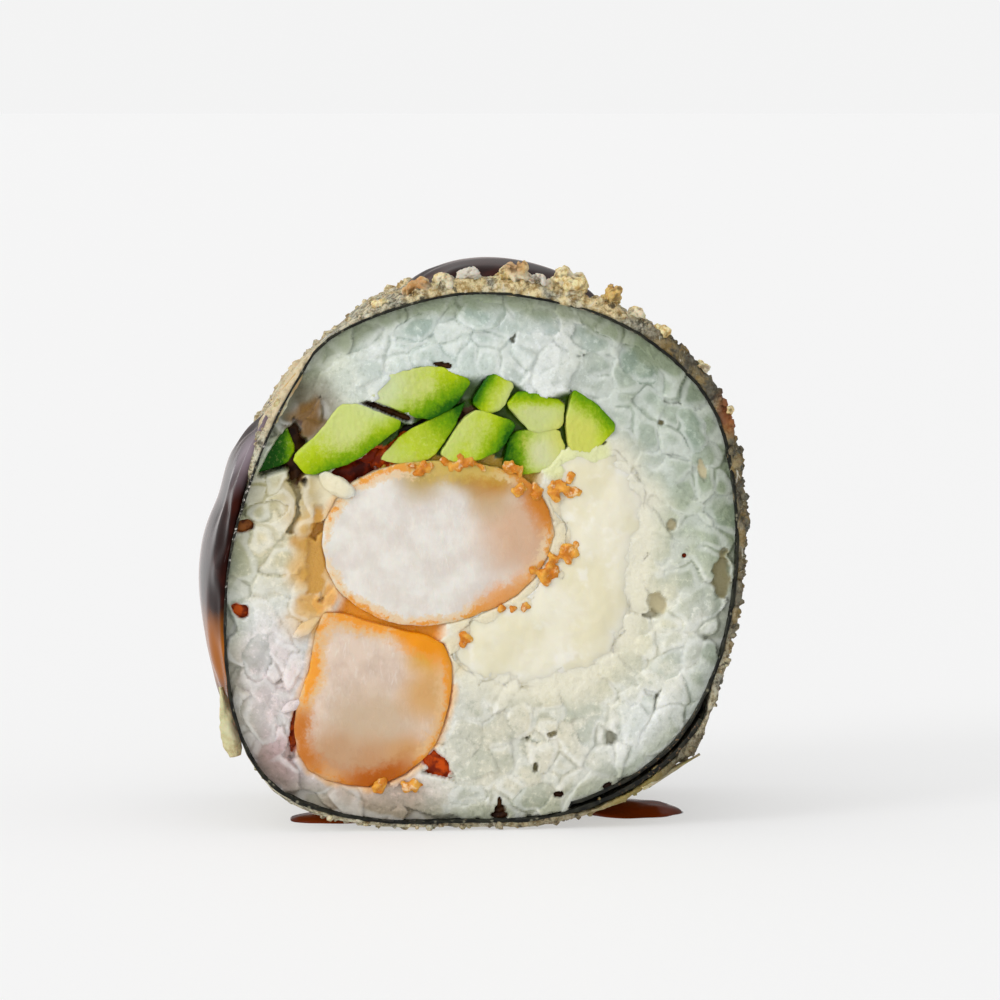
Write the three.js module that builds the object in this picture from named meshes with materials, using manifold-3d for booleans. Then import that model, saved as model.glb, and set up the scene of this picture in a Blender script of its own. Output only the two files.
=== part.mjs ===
// One slice of a deep-fried shrimp maki, standing on its round side.
// Millimetres, +Z up. X runs across the cut faces, Y along the roll: the front cut face is at -Y.
// From outside in: batter coat, seaweed sheet, rice, and two shrimps, cucumber sticks and cream cheese.

import * as THREE from 'three';
import { mergeVertices } from 'three/addons/utils/BufferGeometryUtils.js';
import Module from 'manifold-3d';

const wasm = await Module();
wasm.setup();

// ---- driving dimensions ----

const rollLength = 24;
const frontY = -rollLength / 2;
const backY = rollLength / 2;
const gap = 0.3;

const rollCentre = new THREE.Vector2(0, 22.8);

// Where rice meets seaweed at the front cut face: a squashed circle with a square lower left corner.
const wrapOutline = [
  [1.3, 44.4], [11.3, 41.8], [18.5, 35.3], [20.6, 25.5], [20.0, 17.5], [18.2, 11.8], [15.2, 7.1],
  [9.0, 3.2], [-1.0, 1.35], [-10.0, 1.4], [-17.2, 3.9], [-20.5, 9.5], [-21.0, 22.0],
  [-18.0, 32.2], [-15.3, 37.5], [-13.2, 40.5], [-5.3, 43.8],
];
const backRadius = 21.4;
const backRoundness = 0.5;

const seaweedThickness = 0.4;
const seaweedStart = -72;
const seaweedEnd = 323;
const seaweedClimb = 24;
const seaweedSteps = 96;

// Batter thickness every 45 degrees, counter-clockwise from the right side.
const coatThickness = [0.75, 1.3, 1.4, 0.6, 0.5, 0.45, 0.45, 0.5];
const coatCrumbHeight = 0.55;
const coatSideBulge = { angle: 178, halfWidth: 52, height: 1.1, setBack: 4 };
const coatLip = { angle: -43, halfWidth: 8, height: 0.5, length: 7 };
const coatTurnSteps = 90;
const coatLengthSteps = 9;

// The fillings keep their order along the roll, but turn and shrink a little towards the back.
const bundleCentre = new THREE.Vector2(-2, 24.5);
const bundleTurn = 6;
const bundleShrink = 0.06;
const bundleStations = 4;

const riceRings = 7;
const riceTurnSteps = 48;
const riceRelief = 0.75;

// Shrimp sections: rounded outlines, the cut flesh standing up in the middle.
const shrimps = {
  shrimp_upper: {
    outline: [
      [-13.6, 24.0], [-12.2, 28.2], [-7.6, 30.6], [-1.0, 30.7], [3.8, 29.1],
      [5.6, 24.6], [3.4, 20.4], [-2.0, 17.7], [-7.8, 17.5], [-12.2, 20.2],
    ],
    dome: 0.35,
    colour: 0xe3c3a4,
  },
  shrimp_lower: {
    outline: [
      [-13.4, 18.4], [-14.8, 13.4], [-16.0, 8.6], [-14.9, 5.3], [-9.6, 3.8],
      [-5.4, 5.9], [-3.1, 10.8], [-3.6, 15.6], [-6.8, 16.7], [-10.2, 17.7],
    ],
    dome: 0.3,
    colour: 0xdcb08a,
  },
};

// Cucumber sticks: corners of the cut end, and how far the end lies behind the cut face.
const cucumbers = [
  {
    back: 0,
    corners: [
      [-15.7, 31.5], [-13.3, 33.7], [-12.0, 35.4], [-10.5, 35.4], [-6.8, 33.9], [-10.8, 31.0], [-14.4, 30.0],
    ],
  },
  {
    back: 0.3,
    corners: [[-8.9, 36.5], [-7.2, 38.3], [-4.2, 38.8], [-1.5, 37.7], [-2.8, 35.8], [-4.8, 34.9]],
  },
  {
    back: 0.5,
    corners: [[-8.6, 31.3], [-6.8, 33.3], [-1.8, 35.7], [-2.8, 33.5], [-4.4, 31.3], [-6.6, 30.8]],
  },
  {
    back: 0.1,
    corners: [
      [-3.6, 31.8], [-1.9, 34.2], [-0.7, 34.9], [2.3, 33.9], [1.2, 32.0], [-0.5, 31.2], [-2.6, 31.1],
    ],
  },
  {
    back: 0.4,
    corners: [[-1.1, 35.9], [0.2, 38.0], [2.2, 37.1], [1.2, 35.3], [-0.1, 35.0]],
  },
  {
    back: 0.2,
    corners: [[7.3, 36.6], [9.0, 35.6], [10.7, 33.8], [8.7, 31.8], [7.0, 32.1], [6.7, 34.1]],
  },
  {
    back: 0.4,
    corners: [[1.8, 35.4], [2.9, 36.5], [6.3, 35.7], [6.1, 33.9], [3.8, 33.5]],
  },
  {
    back: 0.5,
    corners: [[1.6, 30.6], [2.2, 33.1], [5.8, 33.3], [6.4, 31.8], [5.2, 30.3], [2.8, 30.1]],
  },
  {
    back: 1.2,
    corners: [[-19.0, 29.9], [-18.0, 31.9], [-16.8, 33.6], [-16.1, 31.6], [-16.7, 30.6]],
  },
];
const cucumberCornerRound = 0.16;
const cucumberColour = 0xa9c24e;

const creamOutline = [
  [6.2, 31.0], [10.8, 31.2], [13.1, 26.5], [12.3, 20.8], [9.6, 13.8], [4.5, 12.1],
  [-1.8, 13.9], [-2.2, 16.6], [3.0, 19.2], [6.6, 23.6],
];

// Open spaces in the front of the rice: outline and depth.
const hollows = [
  {
    depth: 7,
    outline: [[-16.8, 30.0], [-15.6, 34.0], [-12.4, 31.6], [-8.0, 32.2], [-8.6, 30.2], [-14.6, 29.2]],
  },
  {
    depth: 2.6,
    outline: [[-15.6, 28.6], [-13.2, 28.4], [-13.0, 21.0], [-13.4, 18.2], [-14.8, 18.4], [-15.4, 24.0]],
  },
  {
    depth: 2.4,
    outline: [[-17.1, 10.6], [-15.4, 10.4], [-15.4, 5.6], [-16.6, 6.4]],
  },
  {
    depth: 1.8,
    outline: [[12.9, 19.6], [15.6, 19.0], [15.9, 16.4], [13.4, 17.6]],
  },
];

// ---- outlines ----

function closedCurve(points, count) {
  const nodes = points.map(([x, z]) => new THREE.Vector3(x, 0, z));
  const curve = new THREE.CatmullRomCurve3(nodes, true, 'centripetal');
  return curve.getSpacedPoints(count).slice(0, count).map((p) => new THREE.Vector2(p.x, p.z));
}

function counterClockwise(outline) {
  return THREE.ShapeUtils.area(outline) < 0 ? outline.slice().reverse() : outline;
}

// Each corner is replaced by two points, one on either side of it.
function cutCorners(corners, share) {
  const ring = corners.map(([x, z]) => new THREE.Vector2(x, z));
  const outline = [];
  ring.forEach((corner, i) => {
    const before = ring[(i + ring.length - 1) % ring.length];
    const after = ring[(i + 1) % ring.length];
    outline.push(corner.clone().lerp(before, share));
    outline.push(corner.clone().lerp(after, share));
  });
  return counterClockwise(outline);
}

// Moves an outline outwards along its corner normals; a negative distance shrinks it.
function grow(outline, distance) {
  return outline.map((point, i) => {
    const before = outline[(i + outline.length - 1) % outline.length];
    const after = outline[(i + 1) % outline.length];
    const along = after.clone().sub(before).normalize();
    return new THREE.Vector2(point.x + along.y * distance, point.y - along.x * distance);
  });
}

// ---- the roll's own shape ----

const wrapSamples = closedCurve(wrapOutline, 360).map((p) => {
  const arm = p.clone().sub(rollCentre);
  return { angle: (THREE.MathUtils.radToDeg(arm.angle()) + 360) % 360, radius: arm.length() };
}).sort((a, b) => a.angle - b.angle);

function frontRadius(degrees) {
  const angle = ((degrees % 360) + 360) % 360;
  let above = wrapSamples.findIndex((sample) => sample.angle > angle);
  if (above < 0) {
    above = 0;
  }
  const high = wrapSamples[above];
  const low = wrapSamples[(above + wrapSamples.length - 1) % wrapSamples.length];
  const span = (high.angle - low.angle + 360) % 360;
  const share = ((angle - low.angle + 360) % 360) / span;
  return low.radius + (high.radius - low.radius) * share;
}

// The cut outline at the front, rounder towards the back.
function wrapRadius(degrees, y) {
  const front = frontRadius(degrees);
  const share = backRoundness * THREE.MathUtils.smoothstep(y, frontY, backY);
  return front + (backRadius - front) * share;
}

function onRoll(degrees, radius, y) {
  const angle = THREE.MathUtils.degToRad(degrees);
  return [rollCentre.x + radius * Math.cos(angle), y, rollCentre.y + radius * Math.sin(angle)];
}

// Repeatable unevenness between 0 and 1.
function uneven(i, j, seed) {
  const value = Math.sin(i * 12.9898 + j * 78.233 + seed * 37.719) * 43758.5453;
  return value - Math.floor(value);
}

function bump(degrees, lobe) {
  const away = Math.abs(((degrees - lobe.angle + 540) % 360) - 180);
  return away < lobe.halfWidth ? 0.5 + 0.5 * Math.cos((Math.PI * away) / lobe.halfWidth) : 0;
}

// ---- closed meshes and booleans ----

function toGeometry(positions, triangles) {
  const geometry = new THREE.BufferGeometry();
  geometry.setAttribute('position', new THREE.Float32BufferAttribute(positions.flat(), 3));
  geometry.setIndex(triangles.flat());
  return geometry;
}

function toSolid(geometry) {
  const merged = mergeVertices(geometry, 1e-4);
  const vertProperties = new Float32Array(merged.getAttribute('position').array);
  const triVerts = new Uint32Array(merged.getIndex().array);
  return new wasm.Manifold(new wasm.Mesh({ numProp: 3, vertProperties, triVerts }));
}

function largestBody(solid) {
  return solid.decompose().sort((a, b) => b.volume() - a.volume())[0];
}

function fromSolid(solid) {
  const mesh = largestBody(solid).getMesh();
  const geometry = new THREE.BufferGeometry();
  geometry.setAttribute('position', new THREE.BufferAttribute(new Float32Array(mesh.vertProperties), 3));
  geometry.setIndex(new THREE.BufferAttribute(new Uint32Array(mesh.triVerts), 1));
  return geometry;
}

// Joins closed rings of equal length into a side wall, first ring to last.
function wall(ringCount, ringLength, closed) {
  const triangles = [];
  const last = closed ? ringCount : ringCount - 1;
  for (let ring = 0; ring < last; ring += 1) {
    const next = (ring + 1) % ringCount;
    for (let i = 0; i < ringLength; i += 1) {
      const j = (i + 1) % ringLength;
      const a = ring * ringLength + i;
      const b = ring * ringLength + j;
      const c = next * ringLength + j;
      const d = next * ringLength + i;
      triangles.push([a, c, b], [a, d, c]);
    }
  }
  return triangles;
}

// ---- fillings ----

function bundlePoint(point, y) {
  const share = (y - frontY) / rollLength;
  const angle = THREE.MathUtils.degToRad(bundleTurn) * share;
  const arm = point.clone().sub(bundleCentre).multiplyScalar(1 - bundleShrink * share);
  arm.rotateAround(new THREE.Vector2(), angle);
  return [bundleCentre.x + arm.x, y, bundleCentre.y + arm.y];
}

// A filling that runs through the roll, with flat or slightly domed ends.
function strand(outline, startY, endY, dome = 0) {
  const ring = counterClockwise(outline);
  const positions = [];
  for (let station = 0; station < bundleStations; station += 1) {
    const y = startY + ((endY - startY) * station) / (bundleStations - 1);
    ring.forEach((point) => positions.push(bundlePoint(point, y)));
  }
  const count = ring.length;
  const triangles = wall(bundleStations, count, false);
  const lastRing = (bundleStations - 1) * count;
  if (dome > 0) {
    capWithDome(positions, triangles, ring, startY, endY, dome);
  } else {
    THREE.ShapeUtils.triangulateShape(ring, []).forEach(([a, b, c]) => {
      triangles.push([a, b, c], [lastRing + a, lastRing + c, lastRing + b]);
    });
  }
  return toSolid(toGeometry(positions, triangles));
}

function capWithDome(positions, triangles, ring, startY, endY, dome) {
  const count = ring.length;
  const middle = ring.reduce((sum, point) => sum.add(point), new THREE.Vector2()).divideScalar(count);
  const lastRing = (bundleStations - 1) * count;
  [[0, startY, -1], [lastRing, endY, 1]].forEach(([edge, y, side]) => {
    const inner = positions.length;
    ring.forEach((point) => {
      const shoulder = point.clone().lerp(middle, 0.35);
      positions.push(bundlePoint(shoulder, y + side * dome * 0.8));
    });
    const top = positions.length;
    positions.push(bundlePoint(middle, y + side * dome));
    for (let i = 0; i < count; i += 1) {
      const j = (i + 1) % count;
      [
        [edge + i, inner + i, edge + j],
        [edge + j, inner + i, inner + j],
        [inner + i, top, inner + j],
      ].forEach(([a, b, c]) => triangles.push(side > 0 ? [a, b, c] : [a, c, b]));
    }
  });
}

const past = 1;
const fillings = [];

// Lays one filling beside those already in place, and keeps the space it takes, gap included.
function lay(name, outline, colour, setBack, dome = 0) {
  let solid = strand(grow(outline, -gap / 2), frontY + setBack + dome, backY - dome, dome);
  fillings.forEach((other) => {
    solid = solid.subtract(other.space);
  });
  const space = strand(grow(outline, gap / 2), frontY - past, backY + past);
  fillings.push({ name, solid, space, colour });
}

Object.entries(shrimps).forEach(([name, shrimp]) => {
  lay(name, counterClockwise(closedCurve(shrimp.outline, 26)), shrimp.colour, 0, shrimp.dome);
});
cucumbers.forEach((stick, i) => {
  lay(`cucumber_${i + 1}`, cutCorners(stick.corners, cucumberCornerRound), cucumberColour, stick.back);
});
lay('cream_cheese', counterClockwise(closedCurve(creamOutline, 26)), 0xe4dcba, 0.2);

// ---- rice ----

// A disc with grainy faces, out to the seaweed.
function riceDisc() {
  const positions = [];
  const rim = -gap / 2;
  [frontY, backY].forEach((faceY, face) => {
    const inwards = face === 0 ? 1 : -1;
    positions.push([rollCentre.x, faceY + inwards * 0.2, rollCentre.y]);
    for (let ring = 1; ring <= riceRings; ring += 1) {
      for (let step = 0; step < riceTurnSteps; step += 1) {
        const degrees = ((step + 0.5 * (ring % 2)) * 360) / riceTurnSteps;
        const depth = riceRelief * uneven(ring, step, 3 + face);
        const reach = ring / riceRings - (ring < riceRings ? 0.03 * uneven(step, ring, 7 + face) : 0);
        const radius = (wrapRadius(degrees, faceY) + rim) * reach;
        positions.push(onRoll(degrees, radius, faceY + inwards * depth));
      }
    }
  });
  const faceStart = 1 + riceRings * riceTurnSteps;
  const triangles = [];
  for (let face = 0; face < 2; face += 1) {
    const start = face * faceStart;
    const turned = (a, b, c) => triangles.push(face === 0 ? [a, b, c] : [a, c, b]);
    for (let step = 0; step < riceTurnSteps; step += 1) {
      const next = (step + 1) % riceTurnSteps;
      turned(start, start + 1 + step, start + 1 + next);
      for (let ring = 1; ring < riceRings; ring += 1) {
        const inner = start + 1 + (ring - 1) * riceTurnSteps;
        const outer = inner + riceTurnSteps;
        turned(inner + step, outer + step, outer + next);
        turned(inner + step, outer + next, inner + next);
      }
    }
  }
  const frontRim = 1 + (riceRings - 1) * riceTurnSteps;
  const backRim = frontRim + faceStart;
  for (let step = 0; step < riceTurnSteps; step += 1) {
    const next = (step + 1) % riceTurnSteps;
    triangles.push([frontRim + step, backRim + step, backRim + next]);
    triangles.push([frontRim + step, backRim + next, frontRim + next]);
  }
  return toSolid(toGeometry(positions, triangles));
}

function hollow({ outline, depth }) {
  const ring = counterClockwise(closedCurve(outline, 12));
  return strand(ring, frontY - past, frontY + depth);
}

function rice() {
  let solid = riceDisc();
  fillings.forEach((filling) => {
    solid = solid.subtract(filling.space);
  });
  hollows.forEach((space) => {
    solid = solid.subtract(hollow(space));
  });
  return solid;
}

// ---- seaweed sheet and batter coat ----

// How far the sheet's inner face lies outside the rice: its last turn climbs over its first edge.
function seaweedOffset(degrees) {
  const overFirstEdge = seaweedStart + 360 - 4;
  const climbed = THREE.MathUtils.smoothstep(degrees, overFirstEdge - seaweedClimb, overFirstEdge);
  return gap / 2 + climbed * (seaweedThickness + gap);
}

function seaweed() {
  const positions = [];
  const stations = [frontY, 0, backY];
  for (let step = 0; step <= seaweedSteps; step += 1) {
    const degrees = seaweedStart + ((seaweedEnd - seaweedStart) * step) / seaweedSteps;
    const offset = seaweedOffset(degrees);
    stations.forEach((y) => positions.push(onRoll(degrees, wrapRadius(degrees, y) + offset, y)));
    stations.slice().reverse().forEach((y) => {
      positions.push(onRoll(degrees, wrapRadius(degrees, y) + offset + seaweedThickness, y));
    });
  }
  const around = stations.length * 2;
  const triangles = wall(seaweedSteps + 1, around, false);
  const last = seaweedSteps * around;
  [[0, 1, 4], [0, 4, 5], [1, 2, 3], [1, 3, 4]].forEach(([a, b, c]) => {
    triangles.push([a, b, c], [last + a, last + c, last + b]);
  });
  return toSolid(toGeometry(positions, triangles));
}

// The coat lies outside the sheet's last turn, and drops back to the single sheet past its last edge.
function coatInnerOffset(degrees) {
  const turn = degrees < seaweedEnd + 10 - 360 ? degrees + 360 : degrees;
  const pastEdge = THREE.MathUtils.smoothstep(turn, seaweedEnd + 2, seaweedEnd + 10);
  const lift = (seaweedOffset(turn) - gap / 2) * (1 - pastEdge);
  return gap / 2 + lift + seaweedThickness + gap;
}

function coatReach(degrees, y) {
  const turn = (((degrees / 45) % 8) + 8) % 8;
  const low = Math.floor(turn);
  const blend = THREE.MathUtils.smoothstep(turn - low, 0, 1);
  const thickness = coatThickness[low] * (1 - blend) + coatThickness[(low + 1) % 8] * blend;
  const behind = THREE.MathUtils.smoothstep(y, frontY, frontY + coatSideBulge.setBack);
  const before = 1 - THREE.MathUtils.smoothstep(y, frontY, frontY + coatLip.length);
  const side = coatSideBulge.height * bump(degrees, coatSideBulge) * behind;
  return thickness + side + coatLip.height * bump(degrees, coatLip) * before;
}

function coat() {
  const rings = [];
  const ringAt = (y, row, height) => {
    const ring = [];
    for (let step = 0; step < coatTurnSteps; step += 1) {
      const degrees = (step * 360) / coatTurnSteps;
      const inner = wrapRadius(degrees, y) + coatInnerOffset(degrees);
      const reach = coatReach(degrees, y);
      const crumbs = coatCrumbHeight * Math.min(1, reach) * (uneven(step, row, 1) - 0.5);
      const [x, , z] = onRoll(degrees, inner + height * (reach + crumbs), y);
      const ragged = height > 0 && (row === 0 || row === coatLengthSteps) ? uneven(step, row, 9) * 0.5 : 0;
      ring.push([x, y + (row === 0 ? ragged : -ragged), Math.max(z, 0)]);
    }
    rings.push(ring);
  };
  for (let row = 0; row <= coatLengthSteps; row += 1) {
    ringAt(frontY + (rollLength * row) / coatLengthSteps, row, 1);
  }
  [backY, 0, frontY].forEach((y, row) => ringAt(y, 20 + row, 0));
  const triangles = wall(rings.length, coatTurnSteps, true);
  return toSolid(toGeometry(rings.flat(), triangles));
}

// ---- the scene graph ----

function part(name, solid, colour, roughness) {
  const material = new THREE.MeshStandardMaterial({ color: colour, roughness, metalness: 0 });
  const mesh = new THREE.Mesh(fromSolid(solid), material);
  mesh.name = name;
  return mesh;
}

const roll = new THREE.Group();
roll.add(part('tempura_coat', coat(), 0x8a7f5c, 0.8));
roll.add(part('nori', seaweed(), 0x20231b, 0.5));
roll.add(part('rice', rice(), 0xd2d4c4, 0.5));
fillings.forEach((filling) => {
  roll.add(part(filling.name, filling.solid, filling.colour, 0.4));
});

// Centred on its own width, standing on its coat.
const box = new THREE.Box3().setFromObject(roll);
roll.position.x = -(box.min.x + box.max.x) / 2;

export default roll;
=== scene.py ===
import math
import random

import bpy
import numpy as np
from mathutils import Matrix, Vector, noise
from mathutils.bvhtree import BVHTree


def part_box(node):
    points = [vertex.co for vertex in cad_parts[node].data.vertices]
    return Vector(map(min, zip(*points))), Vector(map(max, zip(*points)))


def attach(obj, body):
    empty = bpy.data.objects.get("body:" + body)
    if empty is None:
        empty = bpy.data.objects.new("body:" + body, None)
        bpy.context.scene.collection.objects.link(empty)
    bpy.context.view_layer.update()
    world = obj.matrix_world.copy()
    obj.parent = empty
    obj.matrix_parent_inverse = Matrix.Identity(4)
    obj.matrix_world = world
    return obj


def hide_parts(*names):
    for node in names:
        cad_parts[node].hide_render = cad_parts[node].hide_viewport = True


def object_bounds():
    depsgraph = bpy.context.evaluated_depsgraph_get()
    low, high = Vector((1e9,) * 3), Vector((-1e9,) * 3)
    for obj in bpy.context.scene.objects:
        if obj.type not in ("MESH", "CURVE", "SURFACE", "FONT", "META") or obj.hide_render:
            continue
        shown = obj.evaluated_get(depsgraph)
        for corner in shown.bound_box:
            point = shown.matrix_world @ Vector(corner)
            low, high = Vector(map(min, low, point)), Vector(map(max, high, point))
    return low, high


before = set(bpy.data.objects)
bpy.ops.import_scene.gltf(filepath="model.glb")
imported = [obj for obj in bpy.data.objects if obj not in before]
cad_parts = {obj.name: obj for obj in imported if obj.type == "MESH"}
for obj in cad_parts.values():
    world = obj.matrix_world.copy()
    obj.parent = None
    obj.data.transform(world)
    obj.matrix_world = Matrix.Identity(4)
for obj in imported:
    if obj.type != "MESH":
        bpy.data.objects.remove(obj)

mm = 0.001

# The frame's own places.
cadLow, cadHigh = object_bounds()
riceLow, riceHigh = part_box("rice")
centre = Vector(((riceLow.x + riceHigh.x) / 2, 0, (riceLow.z + riceHigh.z) / 2))
frontY = cadLow.y
backY = cadHigh.y
fillingNames = ["shrimp_upper", "shrimp_lower", "cream_cheese"] + [f"cucumber_{i + 1}" for i in range(9)]


def onFace(right, up, depth=0.0):  # a place on the front cut face: mm from the middle, mm above the table
    return Vector((centre.x + right * mm, frontY + depth * mm, up * mm))


def behindCut(side, depth):  # mm behind the front cut for side -1, behind the back one for side 1
    return frontY + depth * mm if side < 0 else backY - depth * mm


def deselectAll():
    if bpy.context.mode != "OBJECT":
        bpy.ops.object.mode_set(mode="OBJECT")
    bpy.ops.object.select_all(action="DESELECT")


def makeActive(piece):
    deselectAll()
    piece.select_set(True)
    bpy.context.view_layer.objects.active = piece


def nameIt(piece, name):
    piece.name = name
    piece.data.name = name
    return piece


def copyOfNode(nodeName, name):  # a CAD node's shape as a piece of its own, its corners merged
    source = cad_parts[nodeName]
    piece = bpy.data.objects.new(name, source.data.copy())
    bpy.context.scene.collection.objects.link(piece)
    nameIt(piece, name)
    makeActive(piece)
    bpy.ops.object.mode_set(mode="EDIT")
    bpy.ops.mesh.select_all(action="SELECT")
    bpy.ops.mesh.remove_doubles(threshold=0.002 * mm)
    bpy.ops.object.mode_set(mode="OBJECT")
    piece.data.materials.clear()
    return piece


def joinAll(pieces, name):
    deselectAll()
    for piece in pieces:
        piece.select_set(True)
    bpy.context.view_layer.objects.active = pieces[0]
    bpy.ops.object.join()
    return nameIt(bpy.context.view_layer.objects.active, name)


def addModifier(piece, kind, **values):
    modifier = piece.modifiers.new(kind.title(), kind)
    for key, value in values.items():
        setattr(modifier, key, value)
    return modifier


def applyModifiers(piece):
    makeActive(piece)
    for modifier in list(piece.modifiers):
        bpy.ops.object.modifier_apply(modifier=modifier.name)


def remeshPiece(piece, voxel, smoothing=0, factor=0.5):
    addModifier(piece, "REMESH", mode="VOXEL", voxel_size=voxel * mm, use_smooth_shade=True)
    if smoothing:
        addModifier(piece, "SMOOTH", factor=factor, iterations=smoothing)
    applyModifiers(piece)


def getPoints(piece):
    points = np.zeros(len(piece.data.vertices) * 3, np.float32)
    piece.data.vertices.foreach_get("co", points)
    return points.reshape(-1, 3).astype(float)


def setPoints(piece, points):
    piece.data.vertices.foreach_set("co", points.astype(np.float32).ravel())
    piece.data.update()


def getNormals(piece):
    normals = np.zeros(len(piece.data.vertices) * 3, np.float32)
    piece.data.vertices.foreach_get("normal", normals)
    return normals.reshape(-1, 3).astype(float)


def writeMask(piece, name, values):
    attribute = piece.data.attributes.new(name, "FLOAT", "POINT")
    attribute.data.foreach_set("value", np.asarray(values, np.float32))


def writeTint(piece, name, colours):  # four columns: red, green, blue and how much of it shows
    attribute = piece.data.attributes.new(name, "FLOAT_COLOR", "POINT")
    attribute.data.foreach_set("color", np.asarray(colours, np.float32).ravel())


def noiseAt(points, size, offset=0.0, octaves=2):  # soft noise, about -1 to 1, its lumps size mm wide
    shift = Vector((offset * 7.3, offset * 3.1, offset * 5.7))
    scale = 1 / (size * mm)
    return np.array([noise.fractal(Vector(p) * scale + shift, 1.0, 2.0, octaves) for p in points])


def smoothStep(values, low, high):
    share = np.clip((values - low) / (high - low), 0, 1)
    return share * share * (3 - 2 * share)


def smoothShade(piece):
    makeActive(piece)
    bpy.ops.object.shade_smooth()


def turnOutward(piece):
    makeActive(piece)
    bpy.ops.object.mode_set(mode="EDIT")
    bpy.ops.mesh.select_all(action="SELECT")
    bpy.ops.mesh.normals_make_consistent(inside=False)
    bpy.ops.object.mode_set(mode="OBJECT")


def pushOut(piece, points, lift):  # each point moved along its normal by lift, in mm
    return points + getNormals(piece) * lift[:, None] * mm


def stretched(matrix, size):  # size in mm
    return matrix @ Matrix.Diagonal((*[s * mm for s in size], 1))


def randomTurn(draw):
    turn = draw.uniform(0, 6.28)
    return Matrix.Rotation(turn, 4, Vector([draw.gauss(0, 1) for _ in range(3)]).normalized())


# Reading the solids.
def treeOf(nodeName):
    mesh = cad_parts[nodeName].data
    return BVHTree.FromPolygons([v.co for v in mesh.vertices], [p.vertices[:] for p in mesh.polygons])


trees = {name: treeOf(name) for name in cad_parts}
angleSteps = 240


def radiusTable(nodeName, inwards, y):  # how far a node lies from the roll's middle, at each angle
    table = []
    for step in range(angleSteps):
        angle = 2 * math.pi * step / angleSteps
        out = Vector((math.cos(angle), 0, math.sin(angle)))
        start = Vector((centre.x, y, centre.z))
        if inwards:
            start, out = start + out * 60 * mm, -out
        hit = trees[nodeName].ray_cast(start, out)[0]
        table.append((hit - Vector((centre.x, y, centre.z))).length if hit else np.nan)
    table = np.array(table)
    known = ~np.isnan(table)
    steps = np.arange(angleSteps)
    return np.interp(steps, steps[known], table[known], period=angleSteps)


tableDepths = np.linspace(frontY + 0.6 * mm, backY - 0.6 * mm, 7)
wrapTable = np.array([radiusTable("nori", False, y) for y in tableDepths])
coatTable = np.array([radiusTable("tempura_coat", True, y) for y in tableDepths])


flank = {"left": 0.55, "upper": 1.0}  # mm that each flank is drawn in behind the cut


def flankTuck(angles, ys):  # the upper left and left flanks, more and more with depth
    degrees = np.degrees(angles) % 360
    left = smoothStep(degrees, 132, 150) * (1 - smoothStep(degrees, 168, 190))
    upper = smoothStep(degrees, 108, 124) * (1 - smoothStep(degrees, 134, 152))
    behind = (ys - frontY) / mm
    leftTuck = flank["left"] * left * smoothStep(behind, 1.0, 8.0)
    return (leftTuck + flank["upper"] * upper * smoothStep(behind, 0.5, 18.0)) * mm


stepAngles = np.arange(angleSteps) * 2 * math.pi / angleSteps
tucks = np.array([flankTuck(stepAngles, np.full(angleSteps, y)) for y in tableDepths])
wrapTable -= tucks
coatTable -= tucks


def lookUp(table, angles, ys):
    turn = (angles / (2 * math.pi) * angleSteps) % angleSteps
    low = np.floor(turn).astype(int) % angleSteps
    high = (low + 1) % angleSteps
    share = turn - np.floor(turn)
    row = np.clip((ys - tableDepths[0]) / (tableDepths[1] - tableDepths[0]), 0, len(tableDepths) - 1.001)
    below = row.astype(int)
    rowShare = row - below
    first = table[below, low] * (1 - share) + table[below, high] * share
    second = table[below + 1, low] * (1 - share) + table[below + 1, high] * share
    return first * (1 - rowShare) + second * rowShare


def tuckIn(piece):
    points = getPoints(piece)
    angles, radii = polar(points)
    setPoints(piece, fromPolar(angles, radii - flankTuck(angles, points[:, 1]), points[:, 1]))


def polar(points):
    right = points[:, 0] - centre.x
    up = points[:, 2] - centre.z
    return np.arctan2(up, right), np.hypot(right, up)


def fromPolar(angles, radii, ys):
    return np.stack([centre.x + radii * np.cos(angles), ys, centre.z + radii * np.sin(angles)], axis=1)


mapStep = 0.12 * mm
mapSide = int((riceHigh.z - riceLow.z + 4 * mm) / mapStep)


def faceMap(side):  # which filling shows at each place of a cut face: 0 none, else its number
    y = (frontY - 5 * mm) if side < 0 else (backY + 5 * mm)
    into = Vector((0, -side, 0))
    found = np.zeros((mapSide, mapSide), int)
    for number, name in enumerate(fillingNames):
        low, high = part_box(name)
        columns = range(mapCell(low.x, 0) - 2, mapCell(high.x, 0) + 3)
        rows = range(mapCell(low.z, 1) - 2, mapCell(high.z, 1) + 3)
        for row in rows:
            for column in columns:
                x = centre.x + (column - mapSide / 2) * mapStep
                z = centre.z + (row - mapSide / 2) * mapStep
                hit = trees[name].ray_cast(Vector((x, y, z)), into, 8 * mm)
                if hit[0] is not None:
                    found[row, column] = number + 1
    return found


def mapCell(value, axis):
    middle = centre.x if axis == 0 else centre.z
    return int(round((value - middle) / mapStep + mapSide / 2))


def mapCells(points):
    columns = np.round((points[:, 0] - centre.x) / mapStep + mapSide / 2).astype(int)
    rows = np.round((points[:, 2] - centre.z) / mapStep + mapSide / 2).astype(int)
    return np.clip(rows, 0, mapSide - 1), np.clip(columns, 0, mapSide - 1)


faceMaps = {-1: faceMap(-1), 1: faceMap(1)}


def fillingAt(points, side):
    return faceMaps[side][mapCells(points)]


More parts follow.
